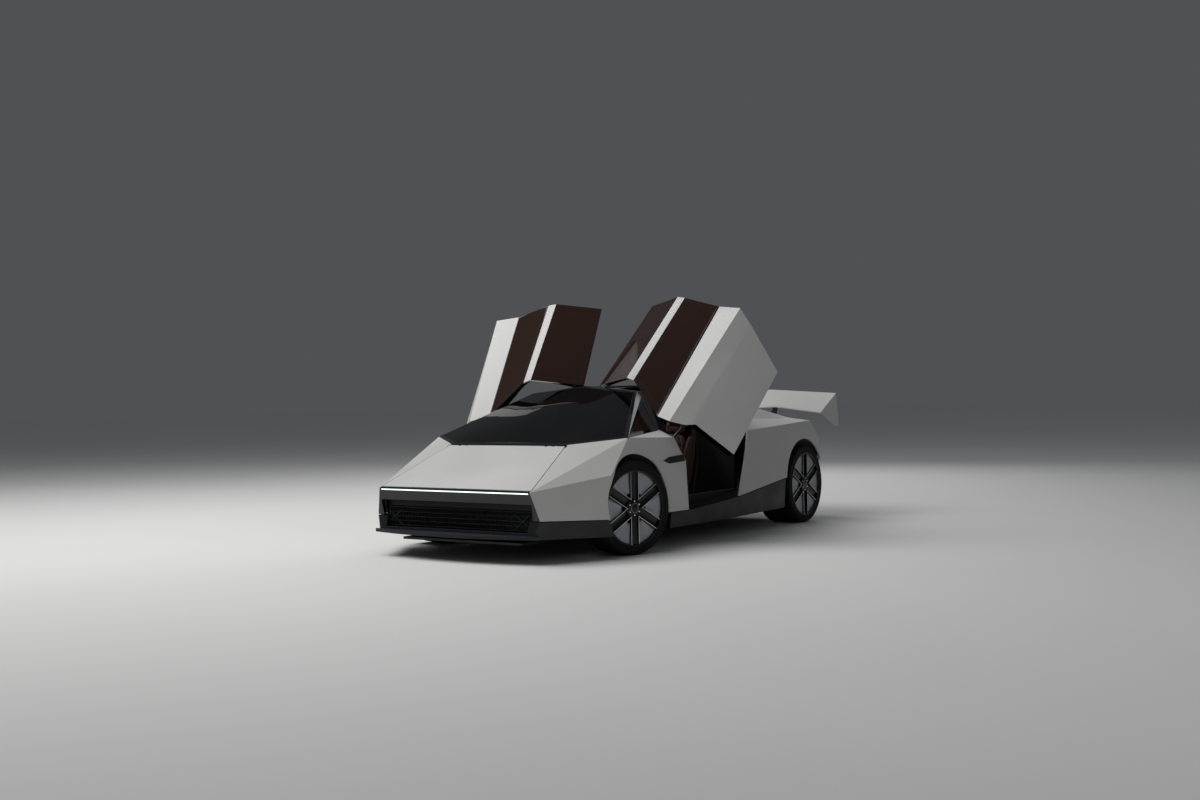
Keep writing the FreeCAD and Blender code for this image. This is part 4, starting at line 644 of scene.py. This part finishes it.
def sector_plates():
    """Six thin plates between the spokes. At radius r a plate spans 30 degrees each way less the angle whose
    sine is half a channel over r, and it is dished inwards by 4 mm in its middle."""
    parts = []
    count = 9
    radii = np.linspace(PLATE_INNER, BEAD - 0.006, count)
    across = np.linspace(-1, 1, count)
    last = count - 1
    rim = np.array([(0, j) for j in range(last)] + [(k, last) for k in range(last)]
                   + [(last, j) for j in range(last, 0, -1)] + [(k, 0) for k in range(last, 0, -1)])
    for middle in GAPS:
        half = math.pi / SPOKES - np.arcsin((CHANNEL_HALF + 0.006) / radii)
        angle = middle + half[:, None] * across[None]
        r = np.broadcast_to(radii[:, None], angle.shape)
        share = (r - PLATE_INNER) / (radii[-1] - PLATE_INNER)
        dish = 0.004 * (1 - across[None] ** 2) * (1 - share) ** 0.5
        sheets = [np.stack([-PLATE_RECESS - dish - depth, -np.sin(angle) * r, np.cos(angle) * r], -1)
                  for depth in (0.0, PLATE_THICK)]
        parts += [(sheet, grid_faces(count, count, flip=k == 0), 0) for k, sheet in enumerate(sheets)]
        edges = np.array([sheet[rim[:, 0], rim[:, 1]] for sheet in sheets])
        parts.append((edges, grid_faces(2, len(rim), False, True), 0))
    return joined(parts)


def channel_ribs(edge):
    """Six V-shaped ribs that edge the channels. Each runs in from the rim along one spoke, turns at the point
    where the two channels' sides meet, 60 degrees apart, and runs out along the next. Its crest is bright."""
    parts = []
    apex = CHANNEL_HALF / math.sin(math.pi / SPOKES)
    reach = math.sqrt((BEAD - 0.004) ** 2 - CHANNEL_HALF ** 2)
    wall, deep, under = 0.0045, 0.020, -edge * 0.4
    body = [(0, -deep), (wall, -deep), (wall, under), (0, under)]
    cap = [(-0.0004, under), (edge, under), (edge, 0), (-0.0004, 0)]
    for middle in GAPS:
        ends = []
        for turn in (-1, 1):
            spoke = middle + turn * math.pi / SPOKES
            ends.append(upright(spoke) * reach + upright(spoke - turn * math.pi / 2) * CHANNEL_HALF)
        path = np.array([ends[0], upright(middle) * apex, ends[1]]) + (-0.004, 0, 0)
        parts += [(*bar(path, profile, ALONG_X), index) for index, profile in enumerate((body, cap))]
    return joined(parts)


def spoke_floors():
    """Six channel floors from the hub to the rim: a shallow trough across, deeper towards the hub."""
    parts = []
    sunk, trough, fall, thick = 0.016, 0.006, 0.010, 0.018
    s = np.linspace(-1, 1, 9)
    t = np.linspace(0.03, BEAD - 0.003, 7)
    for middle in GAPS:
        spoke = middle + math.pi / SPOKES
        along, aside = upright(spoke), upright(spoke - math.pi / 2)
        for depth, flip in ((0.0, False), (thick, True)):
            x = -sunk - trough * (1 - s[None] ** 2) - fall * (1 - t[:, None] / BEAD) - depth
            points = x[..., None] * ALONG_X + t[:, None, None] * along
            points = points + (s * (CHANNEL_HALF - 0.0002))[None, :, None] * aside
            parts.append((points, grid_faces(7, 9, flip=flip), 0))
    return joined(parts)


def rim_profile(width):
    """A rim's closed section of (x, radius): a stepped barrel 4 mm thick with a rounded outer lip."""
    outer = [(-0.001, BEAD), (-0.0002, BEAD - 0.003), (-0.0015, BEAD - 0.0065), (-0.010, BEAD - 0.008),
             (-0.040, BEAD - 0.010), (-0.055, BEAD - 0.030), (0.05 - width, BEAD - 0.030),
             (0.03 - width, BEAD - 0.009), (-width, BEAD - 0.006), (-width, BEAD)]
    return outer + [(x, r - 0.004) for x, r in outer[-2:0:-1]]


def hub_parts():
    """Hub about the X axis: a domed cap with a bright ring in its groove, six wheel bolts and a barrel."""
    cap = [(-0.0005, 0.0001), (-0.0008, 0.016), (-0.0022, 0.027), (-0.0060, 0.031), (-0.0064, 0.034),
           (-0.0045, 0.036), (-0.0065, 0.040), (-0.013, 0.058), (-0.018, 0.066), (-0.052, 0.066),
           (-0.052, 0.0001)]
    ring = [(-0.0062, 0.0315), (-0.0048, 0.0325), (-0.0048, 0.0335), (-0.0062, 0.0345)]
    head = [(-0.006, 0.0001), (-0.006, 0.0055), (-0.007, 0.0075), (-0.020, 0.0078), (-0.020, 0.0001)]
    parts = [(*lathe(cap, 72), 0), (*lathe(ring, 72), 1)]
    points, faces = lathe(head, 6)
    parts += [(points + upright(math.radians(60 * i)) * 0.050, faces, 1) for i in range(SPOKES)]
    return joined(parts)


def disc_parts():
    """Brake disc about the X axis: a scored outer face, a stepped rim, and a hat in the middle."""
    x = -0.108
    profile = [(x, 0.110)]
    for r in 0.116 + np.arange(6) * 0.0118:
        profile += [(x, r), (x - 0.0006, r + 0.001), (x, r + 0.002)]
    profile += [(x, 0.1855), (x - 0.010, 0.186), (x - 0.0105, 0.180), (x - 0.0175, 0.180),
                (x - 0.018, 0.186), (x - 0.028, 0.1855), (x - 0.028, 0.110)]
    hat = [(x + 0.004, 0.0301), (x + 0.004, 0.100), (x - 0.004, 0.112), (x - 0.026, 0.112),
           (x - 0.026, 0.0301)]
    return joined([(*lathe(profile, 120), 0), (*lathe(hat, 72), 1)])


class SUPERCAR_OT_wheels(bpy.types.Operator):
    """Build the four wheels: plates, edged channels, rim, hub and brake disc"""

    bl_idname = "supercar.wheels"
    bl_label = "Wheels"

    def execute(self, context):
        edge = context.scene.supercar_sizes.edge_width
        for axle, width in TYRE_WIDTHS.items():
            pieces = (
                ("plates", sector_plates(), ["wheel_plate"]),
                ("ribs", channel_ribs(edge), ["powder", "bright"]),
                ("spokes", spoke_floors(), ["powder"]),
                ("rim", joined([(*lathe(rim_profile(width), 120), 0)]), ["powder"]),
                ("hub", hub_parts(), ["powder", "bright"]),
                ("disc", disc_parts(), ["disc", "cast"]),
            )
            for name, side in SIDES:
                for part, (points, faces, indices), materials in pieces:
                    piece = mesh_piece(f"wheel_{axle}_{name}_{part}", to_wheel(points, axle, side),
                                       flipped(faces, side), f"roller_{axle}_{name}", "wheel_silver",
                                       materials, indices, 38)
                    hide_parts(f"wheel_{axle}_{name}")
        return {"FINISHED"}


class SUPERCAR_OT_running_gear(bpy.types.Operator):
    """Finish the wishbones, hub carriers with copper calipers, and the drive casing"""

    bl_idname = "supercar.running_gear"
    bl_label = "Running gear"

    def execute(self, context):
        def caliper_of(axle, turn):
            # A caliper's faces lie off the disc's middle, near the wheel's height and outside the kingpin
            def choose(middles, normals):
                side = np.sign(middles[:, 0])
                shift = middles - np.stack([side * KINGPIN, np.full(len(side), AXLES[axle]), 0 * side], -1)
                c, s = math.cos(-turn), math.sin(-turn)
                x = shift[:, 0] * c - shift[:, 1] * s
                y = shift[:, 0] * s + shift[:, 1] * c
                z = middles[:, 2] - WHEEL_HEIGHT
                return (y ** 2 + z ** 2 > 0.120 ** 2) & (x * side > 0.008) & (np.abs(z) < 0.09)
            return choose

        caliper = ["cast", "caliper"]
        for name, side in SIDES:
            dressed("knuckle_" + name, caliper, 1.5, caliper_of("front", STEER_REST))
        dressed("rear_suspension", caliper, 0, caliper_of("rear", 0))
        dressed("front_suspension", ["cast"], 0)
        dressed("drive_block", ["casing"], 6.0)
        return {"FINISHED"}


def pad(path, widths, depths, crown, channels=(), seams=(), power=3.2, rows=64, columns=56, across=0.0):
    """A padded form along a path in the YZ plane. Each section is a superellipse of that power, as wide and
    deep as the path says there, shrinking to a point at both ends by the eighth-power circle. Its upper side
    bulges by crown in the middle of the width. Channels cross it at shares of its length, seams run along it
    at shares of its half width, and both press it in by a narrow bell curve."""
    channel_width, seam_width, pressed = 0.012, 0.05, 0.007
    u = (1 - np.cos(np.linspace(0, math.pi, rows))) / 2
    v = np.linspace(0, 2 * math.pi, columns, endpoint=False)
    path = np.asarray(path, float)
    lengths = np.concatenate([[0], np.cumsum(np.linalg.norm(np.diff(path, axis=0), axis=1))])
    share = lengths / lengths[-1]
    y, z = np.interp(u, share, path[:, 0]), np.interp(u, share, path[:, 1])
    for _ in range(6):
        # Each pass rounds the path's corners a little
        y[1:-1] = (y[:-2] + y[2:] + 2 * y[1:-1]) / 4
        z[1:-1] = (z[:-2] + z[2:] + 2 * z[1:-1]) / 4
    ty, tz = np.gradient(y), np.gradient(z)
    norm = np.hypot(ty, tz)
    ny, nz = -tz / norm, ty / norm
    width, depth = np.interp(u, share, widths), np.interp(u, share, depths)
    end = (1 - np.abs(2 * u - 1) ** 8) ** (1 / 8)
    end[0] = end[-1] = 0.0
    c, s = np.cos(v), np.sin(v)
    cx, cy = np.sign(c) * np.abs(c) ** (2 / power), np.sign(s) * np.abs(s) ** (2 / power)
    upper = np.clip(cy, 0, None)
    press = np.zeros((rows, columns))
    for place in channels:
        press += np.exp(-((u[:, None] - place) / channel_width) ** 2) * upper[None]
    for place in seams:
        press += np.exp(-((cx[None] - place) / seam_width) ** 2) * upper[None]
    x = across + width[:, None] / 2 * end[:, None] * cx[None]
    bulge = crown * end[:, None] * upper[None] * (1 - cx[None] ** 2)
    out = depth[:, None] / 2 * end[:, None] * cy[None] + bulge
    out = out - np.minimum(press, 1) * pressed * end[:, None]
    points = np.stack([x, y[:, None] + out * ny[:, None], z[:, None] + out * nz[:, None]], -1)
    return points, grid_faces(rows, columns, False, True)


# Seat pads: name, path of (y, z), widths, depths, crown, channels and seams
SEAT_PADS = (
    ("cushion", [(-0.245, 0.262), (-0.16, 0.305), (0.0, 0.296), (0.15, 0.275)], [0.27, 0.29, 0.29, 0.27],
     [0.07, 0.09, 0.09, 0.08], 0.014, (0.28, 0.46, 0.64, 0.82), (-0.72, 0.72)),
    ("back", [(0.150, 0.285), (0.215, 0.52), (0.268, 0.72), (0.290, 0.80)], [0.24, 0.27, 0.25, 0.17],
     [0.06, 0.07, 0.07, 0.05], 0.012, (0.2, 0.4, 0.6, 0.8), (-0.7, 0.7)),
    ("headrest", [(0.287, 0.815), (0.314, 0.90), (0.338, 1.0)], [0.17, 0.19, 0.17],
     [0.05, 0.06, 0.045], 0.008, (0.5,), ()),
)
# Seat bolsters: name, distance from the seat's middle, path of (y, z), widths and depths
SEAT_BOLSTERS = (
    ("thigh", 0.183, [(-0.235, 0.275), (-0.12, 0.335), (0.05, 0.335), (0.17, 0.33)],
     [0.07, 0.085, 0.085, 0.07], [0.08, 0.12, 0.13, 0.11]),
    ("side", 0.166, [(0.145, 0.36), (0.185, 0.50), (0.235, 0.66), (0.272, 0.78)],
     [0.06, 0.075, 0.07, 0.05], [0.08, 0.125, 0.12, 0.06]),
)


class SUPERCAR_OT_seats(bpy.types.Operator):
    """Build the two bucket seats: composite shell, padded cushion, back, bolsters and headrest with seams"""

    bl_idname = "supercar.seats"
    bl_label = "Seats"

    def execute(self, context):
        for name, side in SIDES:
            middle = SEAT_MIDDLE * side
            for part, *form, seams in SEAT_PADS:
                surface = pad(*form, seams, across=middle)
                self.padding(name, part, surface, 0.8, 1)
                if seams:
                    threads = [(*tube(surface[0][6:-6, column], 0.0015, ALONG_X), 0) for column in (8, 20)]
                    trim(f"seat_{name}_{part}_seams", threads, "body", "brown_trim", ["thread"])
            for hand in (-1, 1):
                edge = "inner" if hand * side < 0 else "outer"
                for part, away, *form in SEAT_BOLSTERS:
                    surface = pad(*form, 0.006, (), (-0.1,), 2.4, 48, 32, middle + hand * away)
                    self.padding(name, f"{part}_{edge}", surface, 0.9, 0)
            self.shell(name, middle)
        return {"FINISHED"}

    def padding(self, name, part, surface, fill, levels):
        """One leather pad that stands for its seat, smoothed by that many levels."""
        piece = mesh_piece(f"seat_{name}_{part}", *surface, "body", "brown_trim", ["leather"], smooth=80)
        if levels:
            more = piece.modifiers.new("smooth", "SUBSURF")
            more.levels = more.render_levels = levels
        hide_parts("seat_" + name)

    def shell(self, name, middle):
        """The composite bucket behind and under the pads, a folded plate that narrows at the shoulders, and
        its two rails."""
        path = [(-0.2515, 0.2450), (-0.10, 0.235), (0.14, 0.215), (0.215, 0.30), (0.300, 0.60),
                (0.345, 0.80), (0.395, 1.01)]
        widths = [0.43, 0.445, 0.445, 0.44, 0.43, 0.36, 0.2]
        depths = [0.05, 0.06, 0.07, 0.06, 0.04, 0.035, 0.03]
        surface = pad(path, widths, depths, 0, power=6, across=middle)
        piece = mesh_piece(f"seat_{name}_shell", *surface, "body", "carbon_black", ["composite"],
                           smooth=60)
        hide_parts("seat_" + name)
        profile = [(-0.012, -0.012), (0.012, -0.012), (0.012, 0.035), (-0.012, 0.035)]
        rails = [(*bar([(x, -0.22, 0.175), (x, 0.14, 0.175)], profile, ALONG_Z), 0)
                 for x in (middle - 0.15, middle + 0.15)]
        trim(f"seat_{name}_rails", rails, "body", "chassis_metal", ["cast"])


class SUPERCAR_OT_cabin(bpy.types.Operator):
    """Finish the dashboard, console, steering wheel and linings, and add displays, pedals and pulls"""

    bl_idname = "supercar.cabin"
    bl_label = "Cabin"

    def execute(self, context):
        dressed("dashboard", ["suede"], 5.0)
        dressed("console", ["leather"], 6.0)
        dressed("steering_wheel", ["leather"], 1.0)
        self.displays()
        self.pedals()
        for name, side in SIDES:
            dressed("door_lining_" + name, ["leather"], 2.0)
            self.door_trim(name, side)
        return {"FINISHED"}

    def displays(self):
        """Two blank dark displays in thin black frames, air slots at the dashboard's ends, and a knob."""
        screens = (
            (1, (0.32, 0.15, 0.020, 0.012, 0.003), (0, -0.482, 0.705), -8),
            (0, (0.308, 0.138, 0.006, 0.010, 0.002), (0, -0.4705, 0.7065), -8),
            (1, (0.25, 0.075, 0.016, 0.012, 0.003), (SEAT_MIDDLE, -0.640, 0.828), -18),
            (0, (0.238, 0.063, 0.006, 0.010, 0.002), (SEAT_MIDDLE, -0.6305, 0.831), -18),
        )
        parts = [(*placed(slab(*size), place, math.radians(tilt)), index)
                 for index, size, place, tilt in screens]
        blade = slab(0.0035, 0.018, 0.004, 0.0015, 0.0005)
        for x in (-0.56, 0.60):
            parts.append((*placed(slab(0.15, 0.024, 0.016, 0.008, 0.002), (x, -0.486, 0.712)), 1))
            parts += [(*placed(blade, (x - 0.05 + k * 0.025, -0.4775, 0.712)), 0) for k in range(5)]
        trim("dashboard_displays", parts, "body", "brown_trim", ["display", "powder"], 30)
        knob = [(0, 0.0001), (0, 0.026), (0.006, 0.029), (0.014, 0.028), (0.018, 0.022), (0.019, 0.0001)]
        points, faces = lathe(knob, 48)
        turned = points[:, (1, 2, 0)] + (0, -0.10, 0.4985)
        trim("console_knob", [(turned, faces, 0)], "body", "brown_trim", ["bright"])

    def pedals(self):
        """Two ribbed pedals on bent arms that hang from the front bulkhead."""
        parts = []
        tilt = math.radians(24)
        for x, width in ((0.285, 0.075), (0.405, 0.05)):
            parts.append((*placed(slab(width, 0.095, 0.008, 0.010, 0.002), (x, -0.930, 0.315), tilt), 0))
            rib = slab(width * 0.8, 0.006, 0.004, 0.0025, 0.001)
            for k in np.arange(4) - 1.5:
                parts.append((*placed(rib, (x, -0.9245 + k * 0.0085, 0.317 + k * 0.019), tilt), 1))
            arm = [(x, -1.066, 0.50), (x, -1.02, 0.49), (x, -0.965, 0.40), (x, -0.9335, 0.312)]
            parts.append((*tube(arm, 0.007, ALONG_X), 0))
        trim("pedals", parts, "body", "chassis_metal", ["cast", "rubber"], 30)

    def door_trim(self, name, side):
        """Armrest, soft insert, pull and two seams on a shut door's lining, then swung up with the door."""
        leaf, across = "door_leaf_" + name, math.radians(90)
        path = [(-0.40, 0.470), (-0.25, 0.505), (-0.02, 0.515), (0.14, 0.500)]
        rest = pad(path, [0.05, 0.085, 0.085, 0.06], [0.04, 0.055, 0.055, 0.045], 0.004, (), (-0.3,), 3.0,
                   40, 32, 0.872)
        piece = trim(f"door_armrest_{name}", [(*rest, 0)], leaf, "brown_trim", ["leather"], 80, side)
        insert = placed(slab(0.52, 0.085, 0.012, 0.03, 0.004), (0.8925, -0.17, 0.595), 0, across)
        trim(f"door_insert_{name}", [(*insert, 0)], leaf, "brown_trim", ["suede"], side=side)
        parts = [(*placed(slab(0.14, 0.022, 0.018, 0.009, 0.004), (0.886, -0.30, 0.660), 0, across), 0)]
        for z in (0.385, 0.645):
            x = 0.8912 + (0.5 - z) * 0.05
            parts.append((*tube(np.linspace((x, -0.46, z), (x, 0.18, z), 24), 0.0018, ALONG_Z, 6), 1))
        trim(f"door_pull_{name}", parts, leaf, "brown_trim", ["bright", "thread"], side=side)


def fender_face(y, z):
    """The place across of the left fender's side: it falls by 0.052 of the height and 0.0175 of the way
    forwards."""
    return 0.983 - (z - 0.547) * 0.052 - (-0.677 - y) * 0.0175


class SUPERCAR_OT_trim(bpy.types.Operator):
    """Build the engine cover's louvres, the radiator in the intake, the vents' black wedges of painted shade
    and the doors' belt strips
    """

    bl_idname = "supercar.trim"
    bl_label = "Trim"

    def execute(self, context):
        self.louvres()
        self.radiator()
        for name, side in SIDES:
            self.vent(name, side)
            self.belt(name, side)
        return {"FINISHED"}

    def louvres(self):
        """Level slats across the engine cover's outlet, which widens by 0.1653 to a side of the way back. The
        rear edge of each lies 2 mm under the cover, whose middle falls by 0.2414 of the way and its sides by
        0.2272."""
        front, back, count, long, thick, sunk = 0.9926, 1.5075, 9, 0.070, 0.005, 0.002
        profile = [(0, 0), (long, -0.001), (long, -thick), (0.008, -thick), (0.006, -0.014), (0, -0.014)]
        parts = []
        for edge in np.linspace(front, back, count + 1)[1:]:
            way = edge - front
            half = 0.5869 + 0.1653 * way
            middle, low = 1.0883 - 0.2414 * way - sunk, 1.0456 - 0.2272 * way - sunk
            path = [(-half, edge, low), (0, edge, middle), (half, edge, low)]
            parts.append((*bar(path, profile, ALONG_Z), 0))
        trim("engine_louvres", parts, "body", "gloss_black", ["composite"], 30)

    def radiator(self):
        """A dark panel across the nose behind the intake, with upright fins, cross tubes and crossed
        braces."""
        half, low, high, front = 0.671, 0.205, 0.470, -2.104
        panel = slab(2 * half, high - low, 0.006, 0.004, 0.001)
        parts = [(*placed(panel, (0, front + 0.013, (low + high) / 2)), 0)]
        fin = slab(0.0016, 0.150, 0.010, 0.0006, 0.0003, 2)
        parts += [(*placed(fin, (x, front + 0.006, 0.290)), 1) for x in np.arange(-0.630, 0.631, 0.014)]
        for z in (0.225, 0.2575, 0.290, 0.3225, 0.355):
            line = np.linspace((-0.640, front + 0.004, z), (0.640, front + 0.004, z), 3)
            parts.append((*tube(line, 0.0035, ALONG_Z, 6), 1))
        for hand in (-1, 1):
            for ends in (((0.635, 0.250), (0.505, 0.340)), ((0.635, 0.340), (0.505, 0.225))):
                line = np.linspace(*((hand * x, -2.112, z) for x, z in ends), 3)
                parts.append((*tube(line, 0.003, (0, 1, 0), 8), 2))
        trim("intake_radiator", parts, "body", "carbon_black",
             ["powder", "composite", "casing"], 30)

    def vent(self, name, side):
        """A black wedge let into the fender behind the wheel, with a recess that holds two fine bars. Its
        black is painted shade that stands for the dark inside of a vent opening. Its rear end keeps clear of
        the shut door."""
        y, z = np.array([(-0.922, 0.650), (-0.843, 0.626), (-0.620, 0.636), (-0.650, 0.684),
                         (-0.727, 0.681), (-0.842, 0.674)]).T
        rings = [np.stack([fender_face(y, z) + lift, y, z], -1) for lift in (-0.006, 0.0036)]
        middle = rings[1].mean(0)
        inner = middle + (rings[1] - middle) * 0.93
        rings += [inner, inner - (0.0020, 0, 0)]
        # The wedge's black is painted shade, standing for the shadow inside the vent's opening
        parts = [(np.array(rings) * (side, 1, 1), capped(4, 6), 0)]
        for share in (0.35, 0.62):
            ends = np.array([(-0.86, 0.635 + share * 0.03), (-0.63, 0.632 + share * 0.045)])
            ends = np.column_stack([fender_face(*ends.T) + 0.002, ends]) * (side, 1, 1)
            parts.append((*tube(np.linspace(*ends, 3), 0.0014, ALONG_X, 6), 1))
        trim(f"fender_vent_{name}", parts, "body", "carbon_black", ["powder", "casing"], 30)

    def belt(self, name, side):
        """A thin bright strip along a shut door's belt line, then swung up with the door."""
        line = np.linspace((0.7766, -0.620, 0.8794), (0.7577, 0.400, 0.9324), 5)
        trim(f"door_belt_{name}", [(*tube(line, 0.0030, ALONG_Z, 6), 0)], f"door_leaf_{name}", "body_white",
             ["bright"], side=side)


class SUPERCAR_OT_stage(bpy.types.Operator):
    """Make the floor, the soft studio light and the camera at the photograph's angle"""

    bl_idname = "supercar.stage"
    bl_label = "Stage"

    def execute(self, context):
        scene = context.scene
        # The floor is a round sheet: x = r sin a, y = r cos a
        corners, reach = 96, 90
        turn = np.linspace(0, 2 * math.pi, corners, endpoint=False)
        rim = np.stack([np.sin(turn), np.cos(turn), np.zeros(corners)], -1) * reach
        mesh = bpy.data.meshes.new("studio_floor")
        mesh.from_pydata(rim.tolist(), [], [list(range(corners))[::-1]])
        floor = bpy.data.objects.new("studio_floor", mesh)
        mesh.materials.append(finish("floor"))
        scene.collection.objects.link(floor)
        world = bpy.data.worlds.new("soft_studio")
        world.use_nodes = True
        tree = world.node_tree
        tree.nodes.clear()
        # What the camera, gloss and glass see is as dark as the far floor, so no horizon shows
        rays = add_node(tree, "ShaderNodeLightPath").outputs
        seen = add_node(tree, "ShaderNodeMath", {0: rays["Is Camera Ray"], 1: rays["Is Glossy Ray"]},
                        operation="MAXIMUM").outputs[0]
        seen = add_node(tree, "ShaderNodeMath", {0: seen, 1: rays["Is Transmission Ray"]},
                        operation="MAXIMUM").outputs[0]
        strength = add_node(tree, "ShaderNodeMapRange", {"Value": seen, "To Min": 0.5, "To Max": 0.34})
        sky = add_node(tree, "ShaderNodeBackground",
                       {"Color": linear("#85878B"), "Strength": strength.outputs["Result"]})
        add_node(tree, "ShaderNodeOutputWorld", {"Surface": sky.outputs["Background"]})
        scene.world = world
        # name, place, size across and along, power in watts, whether gloss mirrors it, whether it's aimed
        for name, place, size, power, mirrored, aimed in (
            ("overhead_softbox", (-3.0, -3.8, 9.0), (8.0, 8.0), 720, False, True),
            ("edge_softbox", (-5.6, -3.0, 9.0), (5.0, 7.5), 330, True, False),
            ("left_softbox", (9.0, -4.0, 3.2), (5.0, 3.0), 20, True, True),
            ("rear_softbox", (-3.0, 8.0, 5.0), (5.0, 4.0), 150, False, True),
        ):
            lamp = bpy.data.lights.new(name, "AREA")
            lamp.shape = "RECTANGLE"
            lamp.size, lamp.size_y = size
            lamp.energy = power
            holder = bpy.data.objects.new(name, lamp)
            scene.collection.objects.link(holder)
            holder.location = place
            holder.visible_glossy = mirrored
            if aimed:
                aim = Vector((0, 0, 0.5)) - Vector(place)
                holder.rotation_euler = aim.to_track_quat("-Z", "Y").to_euler()
        camera = bpy.data.cameras.new("photograph_view")
        camera.sensor_width = 36.0
        camera.lens = 42.06
        camera.clip_start, camera.clip_end = 0.1, 200
        yaw, pitch, roll = (math.radians(v) for v in (34.01, 0.34, -0.9))
        ahead = Vector((-math.sin(yaw) * math.cos(pitch), math.cos(yaw) * math.cos(pitch), -math.sin(pitch)))
        right = Vector((math.cos(yaw), math.sin(yaw), 0))
        up = right.cross(ahead)
        right, up = right * math.cos(roll) + up * math.sin(roll), up * math.cos(roll) - right * math.sin(roll)
        holder = bpy.data.objects.new("photograph_view", camera)
        scene.collection.objects.link(holder)
        turn = Matrix((right, up, -ahead)).transposed().to_4x4()
        holder.matrix_world = Matrix.Translation((6.336, -9.6865, 1.164)) @ turn
        scene.camera = holder
        scene.view_settings.view_transform = "Standard"
        return {"FINISHED"}


OPERATORS = (
    SUPERCAR_OT_painted_panels, SUPERCAR_OT_black_shell, SUPERCAR_OT_glazing, SUPERCAR_OT_lights,
    SUPERCAR_OT_tyres, SUPERCAR_OT_wheels, SUPERCAR_OT_running_gear, SUPERCAR_OT_seats, SUPERCAR_OT_cabin,
    SUPERCAR_OT_trim, SUPERCAR_OT_stage,
)


class SUPERCAR_PT_looks(bpy.types.Panel):
    """Buttons for the car's pieces, with its colours and sizes"""

    bl_label = "Supercar"
    bl_idname = "SUPERCAR_PT_looks"
    bl_space_type = "VIEW_3D"
    bl_region_type = "UI"
    bl_category = "Supercar"

    def draw(self, context):
        for group in (context.scene.supercar_colours, context.scene.supercar_sizes):
            for key in group.__annotations__:
                self.layout.prop(group, key)
        for operator in OPERATORS:
            self.layout.operator(operator.bl_idname)


CLASSES = (SupercarColours, SupercarSizes, *OPERATORS, SUPERCAR_PT_looks)


def register():
    """Adds the classes and the scene's own colours and sizes."""
    for entry in CLASSES:
        bpy.utils.register_class(entry)
    bpy.types.Scene.supercar_colours = PointerProperty(type=SupercarColours)
    bpy.types.Scene.supercar_sizes = PointerProperty(type=SupercarSizes)


def unregister():
    """Takes them away again."""
    del bpy.types.Scene.supercar_sizes
    del bpy.types.Scene.supercar_colours
    for entry in reversed(CLASSES):
        bpy.utils.unregister_class(entry)


def main():
    """Runs every operator in order."""
    register()
    for operator in OPERATORS:
        group, name = operator.bl_idname.split(".")
        getattr(getattr(bpy.ops, group), name)()


if __name__ == "__main__":
    main()
